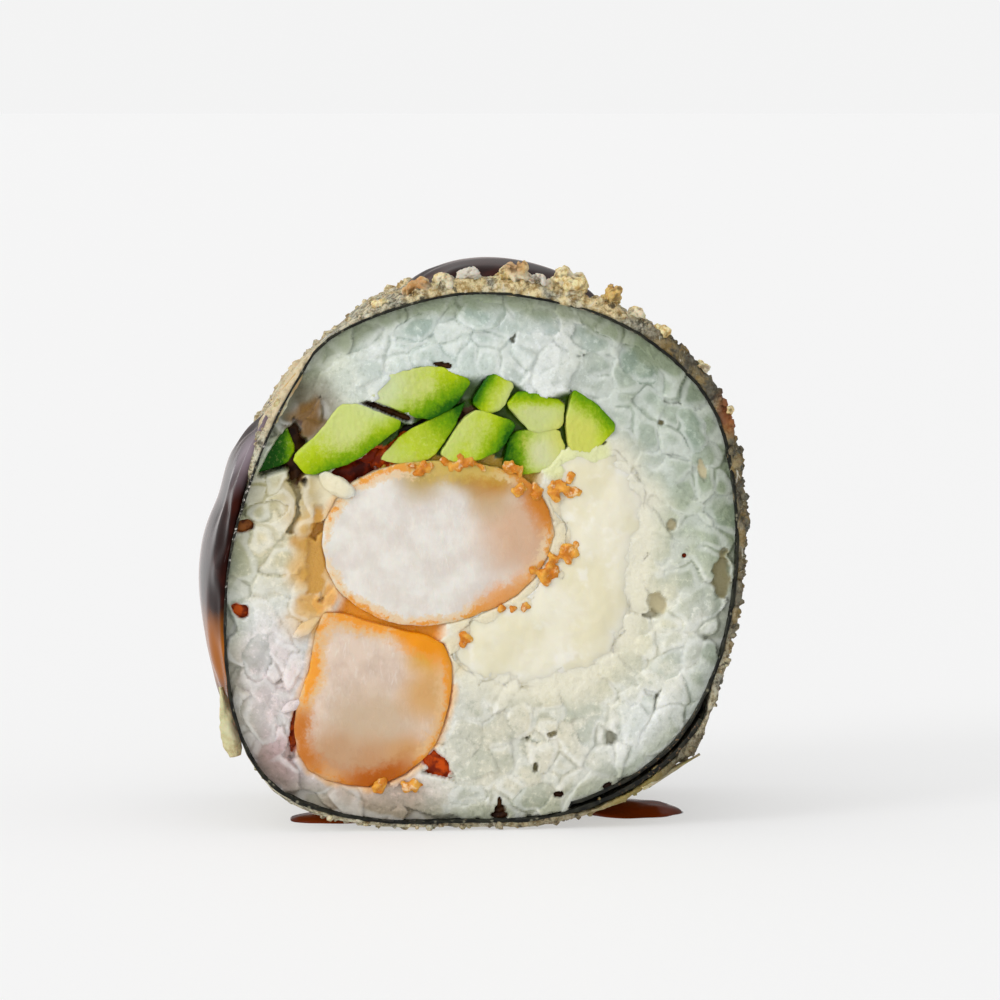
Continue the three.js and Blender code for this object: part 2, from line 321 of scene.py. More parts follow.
def fillingDistances(points, side):  # mm from each filling in the plane of the cut, below zero inside it
    inside = fillingAt(points, side)
    distances = np.full((len(fillingNames), len(points)), 4.0)
    for number, nodeName in enumerate(fillingNames):
        low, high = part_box(nodeName)
        y = low.y + 2 * mm if side < 0 else high.y - 2 * mm
        reach = 4 * mm
        close = np.flatnonzero(
            (points[:, 0] > low.x - reach) & (points[:, 0] < high.x + reach)
            & (points[:, 2] > low.z - reach) & (points[:, 2] < high.z + reach))
        tree = trees[nodeName]
        found = [tree.find_nearest(Vector((points[i, 0], y, points[i, 2])), reach)[3] for i in close]
        distances[number, close] = [4.0 if d is None else d / mm for d in found]
        distances[number] *= np.where(inside == number + 1, -1, 1)
    return distances


print("frame read")


# Shader groups that several materials use.
def newGroup(name, inputs, outputs):
    group = bpy.data.node_groups.new(name, "ShaderNodeTree")
    for socketName, kind, value in inputs:
        socket = group.interface.new_socket(socketName, in_out="INPUT", socket_type=kind)
        socket.default_value = value
    for socketName, kind in outputs:
        group.interface.new_socket(socketName, in_out="OUTPUT", socket_type=kind)
    return group, group.nodes.new("NodeGroupInput"), group.nodes.new("NodeGroupOutput")


def addNode(tree, kind, inputs=None, **settings):
    node = tree.nodes.new(kind)
    for key, value in settings.items():
        setattr(node, key, value)
    for key, value in (inputs or {}).items():
        if isinstance(value, bpy.types.NodeSocket):
            tree.links.new(value, node.inputs[key])
        else:
            node.inputs[key].default_value = value
    return node


def mathNode(tree, operation, first, second=0.0, clamp=False):
    node = addNode(tree, "ShaderNodeMath", {0: first, 1: second}, operation=operation, use_clamp=clamp)
    return node.outputs[0]


def vectorNode(tree, operation, first, second):
    return addNode(tree, "ShaderNodeVectorMath", {0: first, 1: second}, operation=operation)


def times(tree, first, second, clamp=False):
    return mathNode(tree, "MULTIPLY", first, second, clamp)


def plus(tree, first, second):
    return mathNode(tree, "ADD", first, second)


def mixColour(tree, factor, first, second, blend="MIX"):
    sockets = {0: factor, 6: first, 7: second}
    return addNode(tree, "ShaderNodeMix", sockets, data_type="RGBA", blend_type=blend).outputs[2]


def remap(tree, value, low, high, toLow=0.0, toHigh=1.0):
    node = addNode(tree, "ShaderNodeMapRange", {0: value, 1: low, 2: high, 3: toLow, 4: toHigh})
    node.interpolation_type = "SMOOTHSTEP"
    return node.outputs[0]


def makeNearPoint():  # 1 at a place, falling to 0 at a distance, with a wavy border
    group, ins, outs = newGroup(
        "nearPoint",
        [("Vector", "NodeSocketVector", (0, 0, 0)), ("Place", "NodeSocketVector", (0, 0, 0)),
         ("Reach", "NodeSocketFloat", 0.01), ("Waviness", "NodeSocketFloat", 0.3)],
        [("Mask", "NodeSocketFloat")])
    mostlyFlat = (1, 0.15, 1)  # how deep behind the cut a place lies counts for little
    flat = vectorNode(group, "MULTIPLY", ins.outputs["Vector"], mostlyFlat).outputs[0]
    flatPlace = vectorNode(group, "MULTIPLY", ins.outputs["Place"], mostlyFlat).outputs[0]
    away = vectorNode(group, "DISTANCE", flat, flatPlace).outputs["Value"]
    wave = addNode(group, "ShaderNodeTexNoise",
                   {"Vector": ins.outputs["Vector"], "Scale": 260.0, "Detail": 2.0})
    bend = times(group, mathNode(group, "SUBTRACT", wave.outputs[0], 0.5), ins.outputs["Waviness"])
    share = mathNode(group, "DIVIDE", away, ins.outputs["Reach"])
    bent = plus(group, share, bend)
    group.links.new(remap(group, bent, 1.0, 0.25), outs.inputs["Mask"])
    return group


def makeWetGrain():  # fine uneven wetness: a height for bumps and a mask for gloss
    group, ins, outs = newGroup(
        "wetGrain",
        [("Vector", "NodeSocketVector", (0, 0, 0)), ("Scale", "NodeSocketFloat", 900.0)],
        [("Height", "NodeSocketFloat"), ("Gloss", "NodeSocketFloat")])
    coarse = addNode(group, "ShaderNodeTexNoise",
                     {"Vector": ins.outputs["Vector"], "Scale": ins.outputs["Scale"],
                      "Detail": 5.0, "Roughness": 0.6})
    wide = times(group, ins.outputs["Scale"], 0.25)
    pools = addNode(group, "ShaderNodeTexNoise",
                    {"Vector": ins.outputs["Vector"], "Scale": wide, "Detail": 2.0})
    group.links.new(coarse.outputs[0], outs.inputs["Height"])
    group.links.new(remap(group, pools.outputs[0], 0.4, 0.62), outs.inputs["Gloss"])
    return group


def makeSpeckle():  # scattered small spots of uneven size
    group, ins, outs = newGroup(
        "speckle",
        [("Vector", "NodeSocketVector", (0, 0, 0)), ("Scale", "NodeSocketFloat", 1500.0),
         ("Amount", "NodeSocketFloat", 0.3)],
        [("Mask", "NodeSocketFloat")])
    cells = addNode(group, "ShaderNodeTexVoronoi",
                    {"Vector": ins.outputs["Vector"], "Scale": ins.outputs["Scale"], "Randomness": 1.0})
    tone = addNode(group, "ShaderNodeSeparateColor", {0: cells.outputs["Color"]}).outputs[0]
    chosen = mathNode(group, "LESS_THAN", tone, ins.outputs["Amount"])
    spot = remap(group, cells.outputs["Distance"], 0.42, 0.12)
    group.links.new(times(group, chosen, spot), outs.inputs["Mask"])
    return group


nearPoint = makeNearPoint()
wetGrain = makeWetGrain()
speckle = makeSpeckle()


def startMaterial(name, **values):
    material = bpy.data.materials.new(name)
    material.use_nodes = True
    tree = material.node_tree
    shader = tree.nodes["Principled BSDF"]
    for key, value in values.items():
        shader.inputs[key].default_value = value
    place = addNode(tree, "ShaderNodeTexCoord").outputs["Object"]
    return material, tree, shader, place


def startSoftMaterial(name, weight, scale, radius, roughness, shine):  # food that light enters, scale in mm
    return startMaterial(name, **{
        "Subsurface Weight": weight, "Subsurface Scale": scale * mm, "Subsurface Radius": radius,
        "Roughness": roughness, "Specular IOR Level": shine})


def near(tree, place, spot, reach, waviness=0.3):
    node = addNode(tree, "ShaderNodeGroup", node_tree=nearPoint)
    tree.links.new(place, node.inputs["Vector"])
    node.inputs["Place"].default_value = tuple(spot)
    node.inputs["Reach"].default_value = reach * mm
    node.inputs["Waviness"].default_value = waviness
    return node.outputs["Mask"]


def useGroup(tree, group, place, **values):
    node = addNode(tree, "ShaderNodeGroup", node_tree=group)
    tree.links.new(place, node.inputs["Vector"])
    for key, value in values.items():
        node.inputs[key].default_value = value
    return node


def maskOf(tree, name):
    return addNode(tree, "ShaderNodeAttribute", attribute_name=name).outputs["Fac"]


def stainAll(tree, place, base, spots, waviness, strength):  # spots: place, reach in mm, colour
    for spot, reach, colour in spots:
        share = times(tree, near(tree, place, spot, reach, waviness), strength)
        base = mixColour(tree, share, base, rgb(*colour))
    return base


def stretchPlace(tree, place, scale):
    return addNode(tree, "ShaderNodeMapping", {"Vector": place, "Scale": scale}).outputs[0]


def addBump(tree, shader, height, strength, distance):
    bump = addNode(tree, "ShaderNodeBump",
                   {"Strength": strength, "Distance": distance * mm, "Height": height})
    tree.links.new(bump.outputs[0], shader.inputs["Normal"])


def rgb(red, green, blue):  # display colour 0 to 255 as the shader's linear colour
    def linear(value):
        value /= 255
        return value / 12.92 if value <= 0.04045 else ((value + 0.055) / 1.055) ** 2.4
    return (linear(red), linear(green), linear(blue), 1)


def noiseNode(tree, place, scale, detail=3.0, rough=0.55, warp=0.0):
    return addNode(tree, "ShaderNodeTexNoise",
                   {"Vector": place, "Scale": scale, "Detail": detail, "Roughness": rough,
                    "Distortion": warp}).outputs[0]


# Rice: its colours where pits and gaps show, then what can be changed. The dark ones are what lies in the
# deep gaps with painted shade over it.
beige = (206, 196, 160)
olive = (158, 150, 112)
brown = (78, 46, 20)
black = (30, 22, 12)
red = (120, 34, 6)
orange = (182, 74, 8)
honey = (208, 158, 74)
flame = (200, 76, 6)
umber = (142, 84, 36)

rice = {
    "grain": (6.0, 3.4, 3.0),  # length, width and thickness of a cooked grain, mm
    "spread": 3.3,  # mm between neighbouring grains
    "layers": (-0.2, 0.8, 1.9),  # depth of each layer's middle behind the cut, mm
    "cells": 300,  # faces across a cut face
    "floor": 2.3,  # mm behind the cut: the deepest place between grains
    "back": 4.4,  # mm behind the cut: the hidden back of the relief
    "knife": 0.3,  # mm behind the cut face where the knife flattened the grains
    "shoulder": 0.75,  # mm in from its border where a cut grain starts to round off
    "groove": 0.2,  # mm from the cut down to the border between two grains
    "seed": 41,
    "coreBehind": 3.2,  # mm behind each cut: where the hidden core begins
    # pits between the grains: right, up, half width, half height, turn in degrees, depth, colour
    "pits": [
        (19.9, 21.2, 0.8, 2.0, 0, 1.3, olive), (14.5, 18.9, 0.8, 1.1, 20, 1.1, beige),
        (15.7, 25.4, 0.45, 0.55, 0, 0.9, beige), (16.8, 22.9, 0.2, 0.26, 0, 1.2, red),
        (5.7, 8.0, 0.55, 0.24, 10, 0.9, beige), (4.3, 5.2, 0.22, 0.45, 0, 0.9, olive),
        (1.4, 1.1, 0.8, 0.3, 0, 1.6, brown), (1.35, 1.6, 0.45, 0.4, 0, 1.6, brown),
        (1.3, 2.2, 0.16, 0.5, 0, 1.4, brown), (6.3, 2.9, 0.5, 0.26, 0, 1.2, brown),
        (10.4, 3.6, 0.45, 0.24, 20, 1.2, brown), (14.8, 34.0, 0.26, 0.24, 0, 0.8, olive),
        (-19.9, 25.6, 0.8, 0.5, 8, 1.4, umber), (-20.2, 18.6, 0.8, 0.55, -25, 1.4, orange),
        (-15.8, 8.6, 0.4, 2.2, -6, 1.4, orange), (-4.0, 5.5, 1.5, 0.9, -40, 1.2, flame),
        (9.8, 32.4, 0.45, 0.14, 0, 0.8, olive), (5.9, 35.9, 0.7, 0.2, -20, 0.9, olive),
        (-3.3, 38.9, 1.1, 0.22, -12, 1.2, brown), (-7.9, 35.1, 2.5, 0.32, -20, 2.0, brown),
        (-9.2, 31.4, 1.0, 0.5, 25, 1.8, flame), (-5.8, 33.7, 1.5, 0.36, 24, 2.0, black),
        (-3.2, 34.4, 2.3, 0.5, 16, 2.0, brown), (-13.9, 23.2, 0.9, 4.2, -3, 0.6, honey),
        (-15.6, 31.6, 1.0, 2.6, 8, 2.4, brown), (-10.6, 30.2, 2.3, 0.9, 20, 2.0, red),
        (-7.2, 31.8, 1.8, 0.8, 33, 1.5, flame), (18.2, 30.2, 0.35, 1.1, 15, 0.7, beige),
    ],
    # whole grains that lie clear of the rest: right, up, depth, length, width, turn in degrees, how glassy
    "clearGrains": [
        (14.9, 8.3, 0.75, 5.6, 3.4, 50, 0.2), (-17.2, 29.6, 0.9, 3.6, 2.0, 62, 0.7),
        (-17.9, 26.9, 0.8, 3.8, 2.2, 12, 0.4), (-16.0, 13.6, 0.6, 3.6, 1.7, 76, 0.1),
        (-14.9, 25.6, 1.2, 3.6, 2.0, 74, 0.3), (4.2, 2.9, 0.9, 4.2, 2.9, 24, 0.6),
        (-0.2, 43.0, 0.8, 4.6, 2.9, 4, 1.0), (-5.6, 42.0, 0.8, 4.4, 2.8, 28, 0.9),
        (-11.9, 38.0, 0.7, 4.6, 3.2, 38, 0.4), (4.4, 42.5, 0.8, 4.2, 2.8, -12, 0.8),
        (12.9, 38.7, 0.9, 4.4, 2.7, -48, 0.8), (17.4, 33.4, 0.9, 4.6, 2.7, -66, 0.8),
        (-18.9, 14.6, 0.8, 4.4, 2.9, 84, 0.6), (-8.9, 3.4, 0.8, 4.4, 2.6, -30, 0.4),
        (-1.3, 3.0, 0.9, 4.0, 2.6, 8, 0.5), (-18.6, 9.4, 0.9, 4.6, 2.9, -62, 0.6),
        (-15.5, 35.6, 0.8, 4.2, 2.6, 40, 0.4), (8.9, 41.0, 0.8, 4.2, 2.6, -30, 0.7),
    ],
    # grains that stand out over the fillings, written the same way
    "looseGrains": [
        (-12.2, 28.9, 0.35, 3.4, 2.1, -32, 0.4), (-14.7, 17.2, 0.4, 2.9, 0.9, 38, 0.0),
        (-15.9, 10.6, 0.45, 2.2, 0.7, 24, 0.0),
    ],
    # rice so thin that what lies behind it shows through: right, up, reach, colour
    "thinPatches": [
        (-14.5, 34.5, 1.9, (122, 84, 6)), (-14.6, 24.2, 1.7, (200, 150, 60)),
        (-14.5, 21.6, 1.5, (206, 156, 66)), (-14.4, 19.2, 1.7, (212, 164, 84)),
        (-12.8, 19.7, 1.5, (228, 168, 72)),
    ],
    # what shows between two fillings of these kinds
    "gapColours": {
        ("cucumber", "cucumber"): (54, 82, 0), ("shrimp", "shrimp"): (236, 160, 34),
        ("cream", "shrimp"): (232, 222, 192), ("cream", "cucumber"): (228, 230, 176),
        ("cucumber", "shrimp"): (204, 168, 62),
    },
}


def makeGrainModel():
    bpy.ops.mesh.primitive_ico_sphere_add(subdivisions=3, radius=0.5)
    grain = nameIt(bpy.context.object, "riceGrainModel")
    points = getPoints(grain)
    along = points[:, 0] * 2
    points[:, 1] *= 1 + 0.22 * (1 - along ** 2)  # fuller sides than an egg's
    points[:, 2] *= 1 + 0.12 * (1 - along ** 2)
    points[:, 2] += 0.06 * along ** 2  # slightly bent
    dent = np.exp(-((points[:, 0] - 0.42) ** 2 + (points[:, 1] - 0.3) ** 2) / 0.02)
    points *= (1 - 0.13 * dent)[:, None]  # the notch where the germ sat
    setPoints(grain, points)
    return grain


def grainMatrix(place, size, turn, tilt, roll):
    turned = Matrix.Rotation(-turn, 4, "Y") @ Matrix.Rotation(tilt, 4, "Z") @ Matrix.Rotation(roll, 4, "X")
    return stretched(Matrix.Translation(place) @ turned, size)


def copyGrain(model, matrix, name):
    grain = bpy.data.objects.new(name, model.data.copy())
    bpy.context.scene.collection.objects.link(grain)
    grain.data.transform(matrix)
    return grain


def insidePit(right, up, pit, swell=1.0):
    turn = math.radians(pit[4])
    x = (right - pit[0]) * math.cos(turn) + (up - pit[1]) * math.sin(turn)
    z = -(right - pit[0]) * math.sin(turn) + (up - pit[1]) * math.cos(turn)
    return (np.abs(x / (pit[2] * swell)) ** 2.6 + np.abs(z / (pit[3] * swell)) ** 2.6) ** (1 / 2.6)


def spreadGrains(side, draw):  # places of the grains of one face
    grains = []
    length, width, thickness = rice["grain"]
    reach = int(24 / rice["spread"]) + 1
    widePits = [pit for pit in rice["pits"] if pit[2] * pit[3] > 0.4]
    for layer, depth in enumerate(rice["layers"]):
        for row in range(-reach, reach + 1):
            for column in range(-reach, reach + 1):
                right = (column + 0.5 * (row % 2) + 0.33 * layer) * rice["spread"] + draw.uniform(-0.9, 0.9)
                up = centre.z / mm + (row * 0.87 + 0.4 * layer) * rice["spread"] + draw.uniform(-0.9, 0.9)
                level = depth + draw.uniform(-0.6, 0.45)
                size = [s * draw.uniform(0.84, 1.14) for s in (length, width, thickness)]
                turn = draw.uniform(0, math.pi)
                tilt = draw.gauss(0, 0.45)
                roll = draw.uniform(0, math.pi)
                y = behindCut(side, level)
                place = Vector((centre.x + right * mm, y, up * mm))
                spot = np.array([place])
                angle, radius = polar(spot)
                room = (lookUp(wrapTable, angle, spot[:, 1])[0] - radius[0]) / mm
                if room < 0.35:
                    continue
                if room < 2.4:
                    turn = angle[0] + math.pi / 2 + draw.gauss(0, 0.35)
                if side < 0 and any(insidePit(right, up, pit, 1.1) < 1 for pit in widePits):
                    continue
                grains.append((place, size, turn, tilt, roll))
    return grains


def grainRelief(points, grains, clear, knife, side):
    # for points on a cut face: the depth to the grains that the knife missed, whose grain shows, and how far
    # in from its border the point lies, below zero where no grain was cut; clear grains win over the rest
    warp = np.stack([noiseAt(points, 1.7, 11.0), np.zeros(len(points)), noiseAt(points, 1.7, 17.0)], axis=1)
    probes = points + warp * 0.3 * mm
    face = behindCut(side, 0)
    behind = np.full(len(points), rice["floor"])
    inside = np.full(len(points), -1.0)
    rival = np.full(len(points), -1.0)
    below = np.zeros(len(points), int)
    owner = np.zeros(len(points), int)
    for number, (place, size, turn, tilt, roll) in enumerate(grains):
        shape = np.array(grainMatrix(place, size, turn, tilt, roll))[:3, :3] / 2
        metric = np.linalg.inv(shape @ shape.T)
        across = probes - np.array(place)
        close = np.flatnonzero(np.hypot(across[:, 0], across[:, 2]) < max(size) * 0.6 * mm)
        x, z = across[close, 0], across[close, 2]
        y = face - side * knife[close] * mm - place[1]
        slope = metric[0, 1] * x + metric[1, 2] * z
        flat = metric[0, 0] * x * x + 2 * metric[0, 2] * x * z + metric[2, 2] * z * z
        within = (1 - np.sqrt(flat + 2 * slope * y + metric[1, 1] * y * y)) * min(size) / 2
        within += np.where(within > 0, 1.0 * clear[number], 0)
        wins = within > inside[close]
        rival[close] = np.where(wins, inside[close], np.maximum(rival[close], within))
        inside[close] = np.where(wins, within, inside[close])
        owner[close] = np.where(wins, number, owner[close])
        root = slope ** 2 - metric[1, 1] * (flat - 1)
        close, slope, root = close[root > 0], slope[root > 0], root[root > 0]
        depth = (place[1] + (-slope + side * np.sqrt(root)) / metric[1, 1] - face) / mm * -side
        nearer = depth < behind[close]
        behind[close] = np.where(nearer, depth, behind[close])
        below[close] = np.where(nearer, number, below[close])
    inset = np.minimum(inside - 1.0 * clear[owner] * (inside > 0), (inside - rival) / 2)
    return behind, np.where(inside > 0, owner, below), inset


def makeFaceGrid(name, side):  # a square grid drawn out to the seaweed's outline, level with the cut
    cells = rice["cells"]
    bpy.ops.mesh.primitive_grid_add(x_subdivisions=cells, y_subdivisions=cells, size=2, location=(0, 0, 0))
    face = nameIt(bpy.context.object, name)
    points = getPoints(face)
    u, v = points[:, 0].copy(), points[:, 1].copy()
    right, up = u * np.sqrt(1 - v * v / 2), v * np.sqrt(1 - u * u / 2)
    ys = np.full(len(points), behindCut(side, 0))
    angles = np.arctan2(up, right)
    radii = np.hypot(right, up) * (lookUp(wrapTable, angles, ys) + 0.27 * mm)
    setPoints(face, fromPolar(angles, radii, ys))
    return face


def closeFace(face, side):  # walls round the relief and one flat face behind it
    count = len(face.data.vertices)
    makeActive(face)
    bpy.ops.object.mode_set(mode="EDIT")
    bpy.ops.mesh.select_mode(type="EDGE")
    bpy.ops.mesh.select_all(action="DESELECT")
    bpy.ops.mesh.select_non_manifold()
    bpy.ops.mesh.extrude_edges_move(TRANSFORM_OT_translate={"value": (0, -side * 1 * mm, 0)})
    bpy.ops.mesh.edge_face_add()
    bpy.ops.mesh.select_all(action="SELECT")
    bpy.ops.mesh.normals_make_consistent(inside=False)
    bpy.ops.object.mode_set(mode="OBJECT")
    points = getPoints(face)
    points[count:, 1] = behindCut(side, rice["back"])
    setPoints(face, points)


def riceTints(points, side, depth, distances):  # colour of pits and gaps, with how much of it shows
    right = (points[:, 0] - centre.x) / mm
    up = points[:, 2] / mm
    tints = np.zeros((len(points), 4))
    wobble = 0.4 * noiseAt(points, 0.9, 5.0)

    def lay(colour, share):
        tints[:, :3] = np.where(share[:, None] > 0.01, np.array(rgb(*colour)[:3]), tints[:, :3])
        tints[:, 3] = np.maximum(tints[:, 3], share)

    # painted shade: the deeper the rice lies, the more grey-beige it turns, over the beige of the grains
    # below
    hollowShade = smoothStep(depth, 0.9, 1.9) * 0.75
    lay((188, 182, 146), hollowShade)
    if side < 0:
        uneven = 0.7 * noiseAt(points, 1.6, 41.0)
        for spotRight, spotUp, reach, colour in rice["thinPatches"]:
            spot = np.hypot(right - spotRight, (up - spotUp) * 0.9) + uneven
            lay(colour, 0.9 * (1 - smoothStep(spot, 0.3 * reach, reach)))
    order = np.argsort(distances, axis=0)
    first = np.take_along_axis(distances, order[:1], 0)[0]
    second = np.take_along_axis(distances, order[1:2], 0)[0]
    kinds = np.array([name.split("_")[0] for name in fillingNames])
    stain = 1 - smoothStep(first + 0.35 * noiseAt(points, 1.4, 21.0), 0.25, 0.9)
    lay((238, 176, 80), 0.55 * stain * (kinds[order[0]] == "shrimp"))
    between = 1 - smoothStep(first + second, 1.5, 2.4)
    for (kind, otherKind), colour in rice["gapColours"].items():
        pair = ((kinds[order[0]] == kind) & (kinds[order[1]] == otherKind)
                | (kinds[order[0]] == otherKind) & (kinds[order[1]] == kind))
        lay(colour, between * pair)
    if side < 0:
        angles, radii = polar(points)
        degrees = np.degrees(angles) % 360
        fromWrap = (lookUp(wrapTable, angles, points[:, 1]) - radii) / mm + 0.6 * noiseAt(points, 1.8, 31.0)
        upper = smoothStep(degrees, 30, 60) * (1 - smoothStep(degrees, 122, 138))
        lay((140, 150, 116), 0.6 * upper * (1 - smoothStep(fromWrap, 0.7, 1.5)))
        for pit in rice["pits"]:
            away = insidePit(right, up, pit) + wobble
            lay(pit[6], (1 - smoothStep(away, 0.75, 1.15)) * smoothStep(depth, 0.4, min(pit[5], 0.9)))
    return tints


def makeRiceFace(side, name):
    draw = random.Random(rice["seed"] + side)
    grains = spreadGrains(side, draw)
    glassy = [max(0, draw.gauss(0.05, 0.3)) for _ in grains]
    if side < 0:
        for right, up, depth, length, width, turn, glass in rice["clearGrains"]:
            size = (length, width, width * 0.85)
            grains.append((onFace(right, up, depth), size, math.radians(turn), 0.1, 0.3))
            glassy.append(glass)
    face = makeFaceGrid(name, side)
    points = getPoints(face)
    distances = fillingDistances(points, side)
    fromCream = distances[fillingNames.index("cream_cheese")]
    creamy = 1 - smoothStep(fromCream + 0.9 * noiseAt(points, 2.2, 3.0), 0.2, 3.4)
    angles, radii = polar(points)
    fromWrap = (lookUp(wrapTable, angles, points[:, 1]) - radii) / mm
    rim = 1 - smoothStep(fromWrap, 0.3, 2.4)
    right = (points[:, 0] - centre.x) / mm
    up = points[:, 2] / mm

    # the knife leaves flat grains with round shoulders, each at its own level and tilt
    knife = rice["knife"] + 0.14 * noiseAt(points, 7.0, 1.0) + 0.25 * rim
    clear = np.arange(len(grains)) >= len(grains) - (len(rice["clearGrains"]) if side < 0 else 0)
    behind, owner, inset = grainRelief(points, grains, clear, knife, side)
    tones = np.array([draw.random() for _ in grains])
    tilts = np.array([(draw.gauss(0, 0.06), draw.gauss(0, 0.06)) for _ in grains])
    middles = np.array([(grain[0][0], grain[0][2]) for grain in grains])
    crushed = smoothStep(noiseAt(points, 3.4, 8.0), -0.25, 0.45)
    edge = 1 - np.clip(inset / rice["shoulder"], 0, 1)
    groove = rice["groove"] * (1 - 0.8 * crushed) * (1 - 0.85 * creamy)
    shoulder = 1 - np.sqrt(1 - 0.98 * edge ** 2)
    lean = ((points[:, [0, 2]] - middles[owner]) / mm * tilts[owner]).sum(axis=1)
    depth = knife + groove * shoulder + 0.24 * (tones[owner] - 0.5) * (1 - creamy)
    depth = depth + np.clip(lean, -0.16, 0.16)
    missed = inset <= 0
    depth = np.where(missed, np.maximum(depth, knife + groove + np.maximum(behind - knife, 0)), depth)
    depth += 0.06 * noiseAt(points, 1.0, 4.0) + 0.04 * noiseAt(points, 0.4, 6.0)
    depth = np.clip(depth, 0.02, 1.45 - 0.4 * rim)

    if side < 0:
        wobble = 0.4 * noiseAt(points, 0.9, 5.0)
        for pit in rice["pits"]:
            share = 1 - smoothStep(insidePit(right, up, pit) + wobble, 0.7, 1.05)
            depth = depth + np.maximum(pit[5] - depth, 0) * share

    # between fillings and under them the rice lies lower
    nearest = np.sort(distances, axis=0)
    pair = np.argsort(distances, axis=0)[:2]
    apart = (pair != fillingNames.index("cream_cheese")).all(axis=0)
    between = (1 - smoothStep(nearest[0] + nearest[1], 1.4, 2.3)) * apart
    depth += np.maximum(1.1 - depth, 0) * between
    for number, nodeName in enumerate(fillingNames):
        low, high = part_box(nodeName)
        setBack = (low.y - frontY) / mm if side < 0 else (backY - high.y) / mm
        reach = -1.5 if nodeName == "cream_cheese" else -0.1
        sunk = 1 - smoothStep(distances[number], reach, reach + 0.5)
        depth += np.maximum(setBack + 1.2 - depth, 0) * sunk
    points[:, 1] = behindCut(side, depth)
    setPoints(face, points)
    tints = riceTints(points, side, depth, distances)
    closeFace(face, side)

    wall = len(face.data.vertices) - len(points)
    writeMask(face, "grainTone", np.pad(tones[owner], (0, wall)))
    writeMask(face, "glassy", np.pad(np.array(glassy)[owner], (0, wall)))
    writeMask(face, "seam", np.pad(edge * (1 - creamy) * (1 - 0.75 * crushed), (0, wall)))
    writeMask(face, "rim", np.pad(1 - smoothStep(fromWrap, 0.2, 2.6), (0, wall)))
    writeMask(face, "creamy", np.pad(creamy, (0, wall)))
    writeTint(face, "tint", np.pad(tints, ((0, wall), (0, 0))))
    print(name, len(grains), "grains", len(face.data.polygons), "faces")
    return face


def makeLooseGrains(grainModel):
    parts = []
    for number, (right, up, depth, length, width, turn, glass) in enumerate(rice["looseGrains"]):
        place = onFace(right, up, depth)
        size = (length, width, width * 0.7)
        matrix = grainMatrix(place, size, math.radians(turn), 0.15, 0.6 * number)
        grain = copyGrain(grainModel, matrix, f"loose{number}")
        writeMask(grain, "glassy", np.full(len(grain.data.vertices), glass))
        writeTint(grain, "tint", np.zeros((len(grain.data.vertices), 4)))
        parts.append(grain)
    piece = joinAll(parts, "looseGrains")
    points = getPoints(piece)
    points = pushOut(piece, points, 0.26 * noiseAt(points, 1.1, 3.0) + 0.08 * noiseAt(points, 0.5, 6.0))
    depth = (points[:, 1] - frontY) / mm
    points[:, 1] = frontY + np.where(depth < -0.1, -0.1 + (depth + 0.1) * 0.3, depth) * mm
    setPoints(piece, points)
    return piece


def makeGapFill():  # what shows at the bottom of the coloured gaps: dark pieces in the pit colours, painted shade over what lies there
    parts = []
    for number, (right, up, wide, high, turn, depth, colour) in enumerate(rice["pits"]):
        if colour not in (brown, black, red, orange, flame, umber):
            continue
        bpy.ops.mesh.primitive_ico_sphere_add(subdivisions=4, radius=1)
        fill = nameIt(bpy.context.object, f"fill{number}")
        points = getPoints(fill)
        points *= 1 + 0.14 * noiseAt(points, 700.0, number * 2.0)[:, None]
        points *= np.array([wide * 1.3 + 0.1, 0.7, high * 1.3 + 0.1]) * mm
        setPoints(fill, points)
        turned = Matrix.Rotation(math.radians(-turn), 4, "Y")
        fill.data.transform(Matrix.Translation(onFace(right, up, depth + 0.15)) @ turned)
        writeTint(fill, "tint", np.tile((*rgb(*colour)[:3], 1), (len(points), 1)))
        parts.append(fill)
    piece = joinAll(parts, "gapFill")
    smoothShade(piece)
    return piece


def makeGapMaterial():
    material, tree, shader, place = startMaterial(
        "gapFill", **{"Roughness": 0.35, "Specular IOR Level": 0.12})
    tint = addNode(tree, "ShaderNodeAttribute", attribute_name="tint").outputs["Color"]
    cloud = noiseNode(tree, place, 1100.0, 4.0)
    # mottled darker patches: more painted shade deep in the gaps
    dark = mixColour(tree, 1.0, tint, rgb(150, 120, 100), "MULTIPLY")
    tree.links.new(mixColour(tree, remap(tree, cloud, 0.4, 0.62), dark, tint), shader.inputs["Base Color"])
    addBump(tree, shader, cloud, 0.5, 0.15)
    return material


def makeRiceCore():
    core = copyOfNode("rice", "riceCore")
    tuckIn(core)
    points = getPoints(core)
    low, high = behindCut(-1, rice["coreBehind"]), behindCut(1, rice["coreBehind"])
    points[:, 1] = np.clip(points[:, 1], low, high)
    setPoints(core, points)
    return core


riceHues = {
    # cool at the top, lilac low on the left (partly painted shade), warm by the shrimps, and painted shade
    # darkening the upper right and right side away from the light: place, reach, colour
    "washesAndShade": [
        (onFace(-18, 9), 12, (253, 236, 238)), (onFace(-9, 1), 8, (230, 206, 194)),
        (onFace(-17.8, 5.2), 4.5, (212, 192, 194)), (onFace(9, 19), 13, (248, 242, 216)),
        (onFace(3, 7), 11, (244, 238, 222)), (onFace(16, 37), 13, (198, 208, 194)),
        (onFace(20, 26), 9, (206, 214, 196)), (onFace(-16, 36), 9, (250, 252, 238)),
        (onFace(-17, 24), 7, (250, 238, 208)), (onFace(-3, 40), 11, (238, 246, 242)),
    ],
    # translucent grains over darker gaps: place, reach, colour
    "stains": [
        (onFace(-14.5, 34.9), 4.6, (84, 60, 16)), (onFace(-15.0, 28.6), 3.0, (190, 168, 108)),
        (onFace(-14.6, 25.6), 2.6, (216, 180, 108)), (onFace(-14.4, 21.8), 3.0, (224, 180, 108)),
        (onFace(-14.6, 17.8), 2.6, (228, 190, 126)), (onFace(-18.6, 28.4), 2.6, (212, 200, 152)),
        (onFace(-12.2, 28.9), 2.4, (240, 230, 196)),
    ],
}


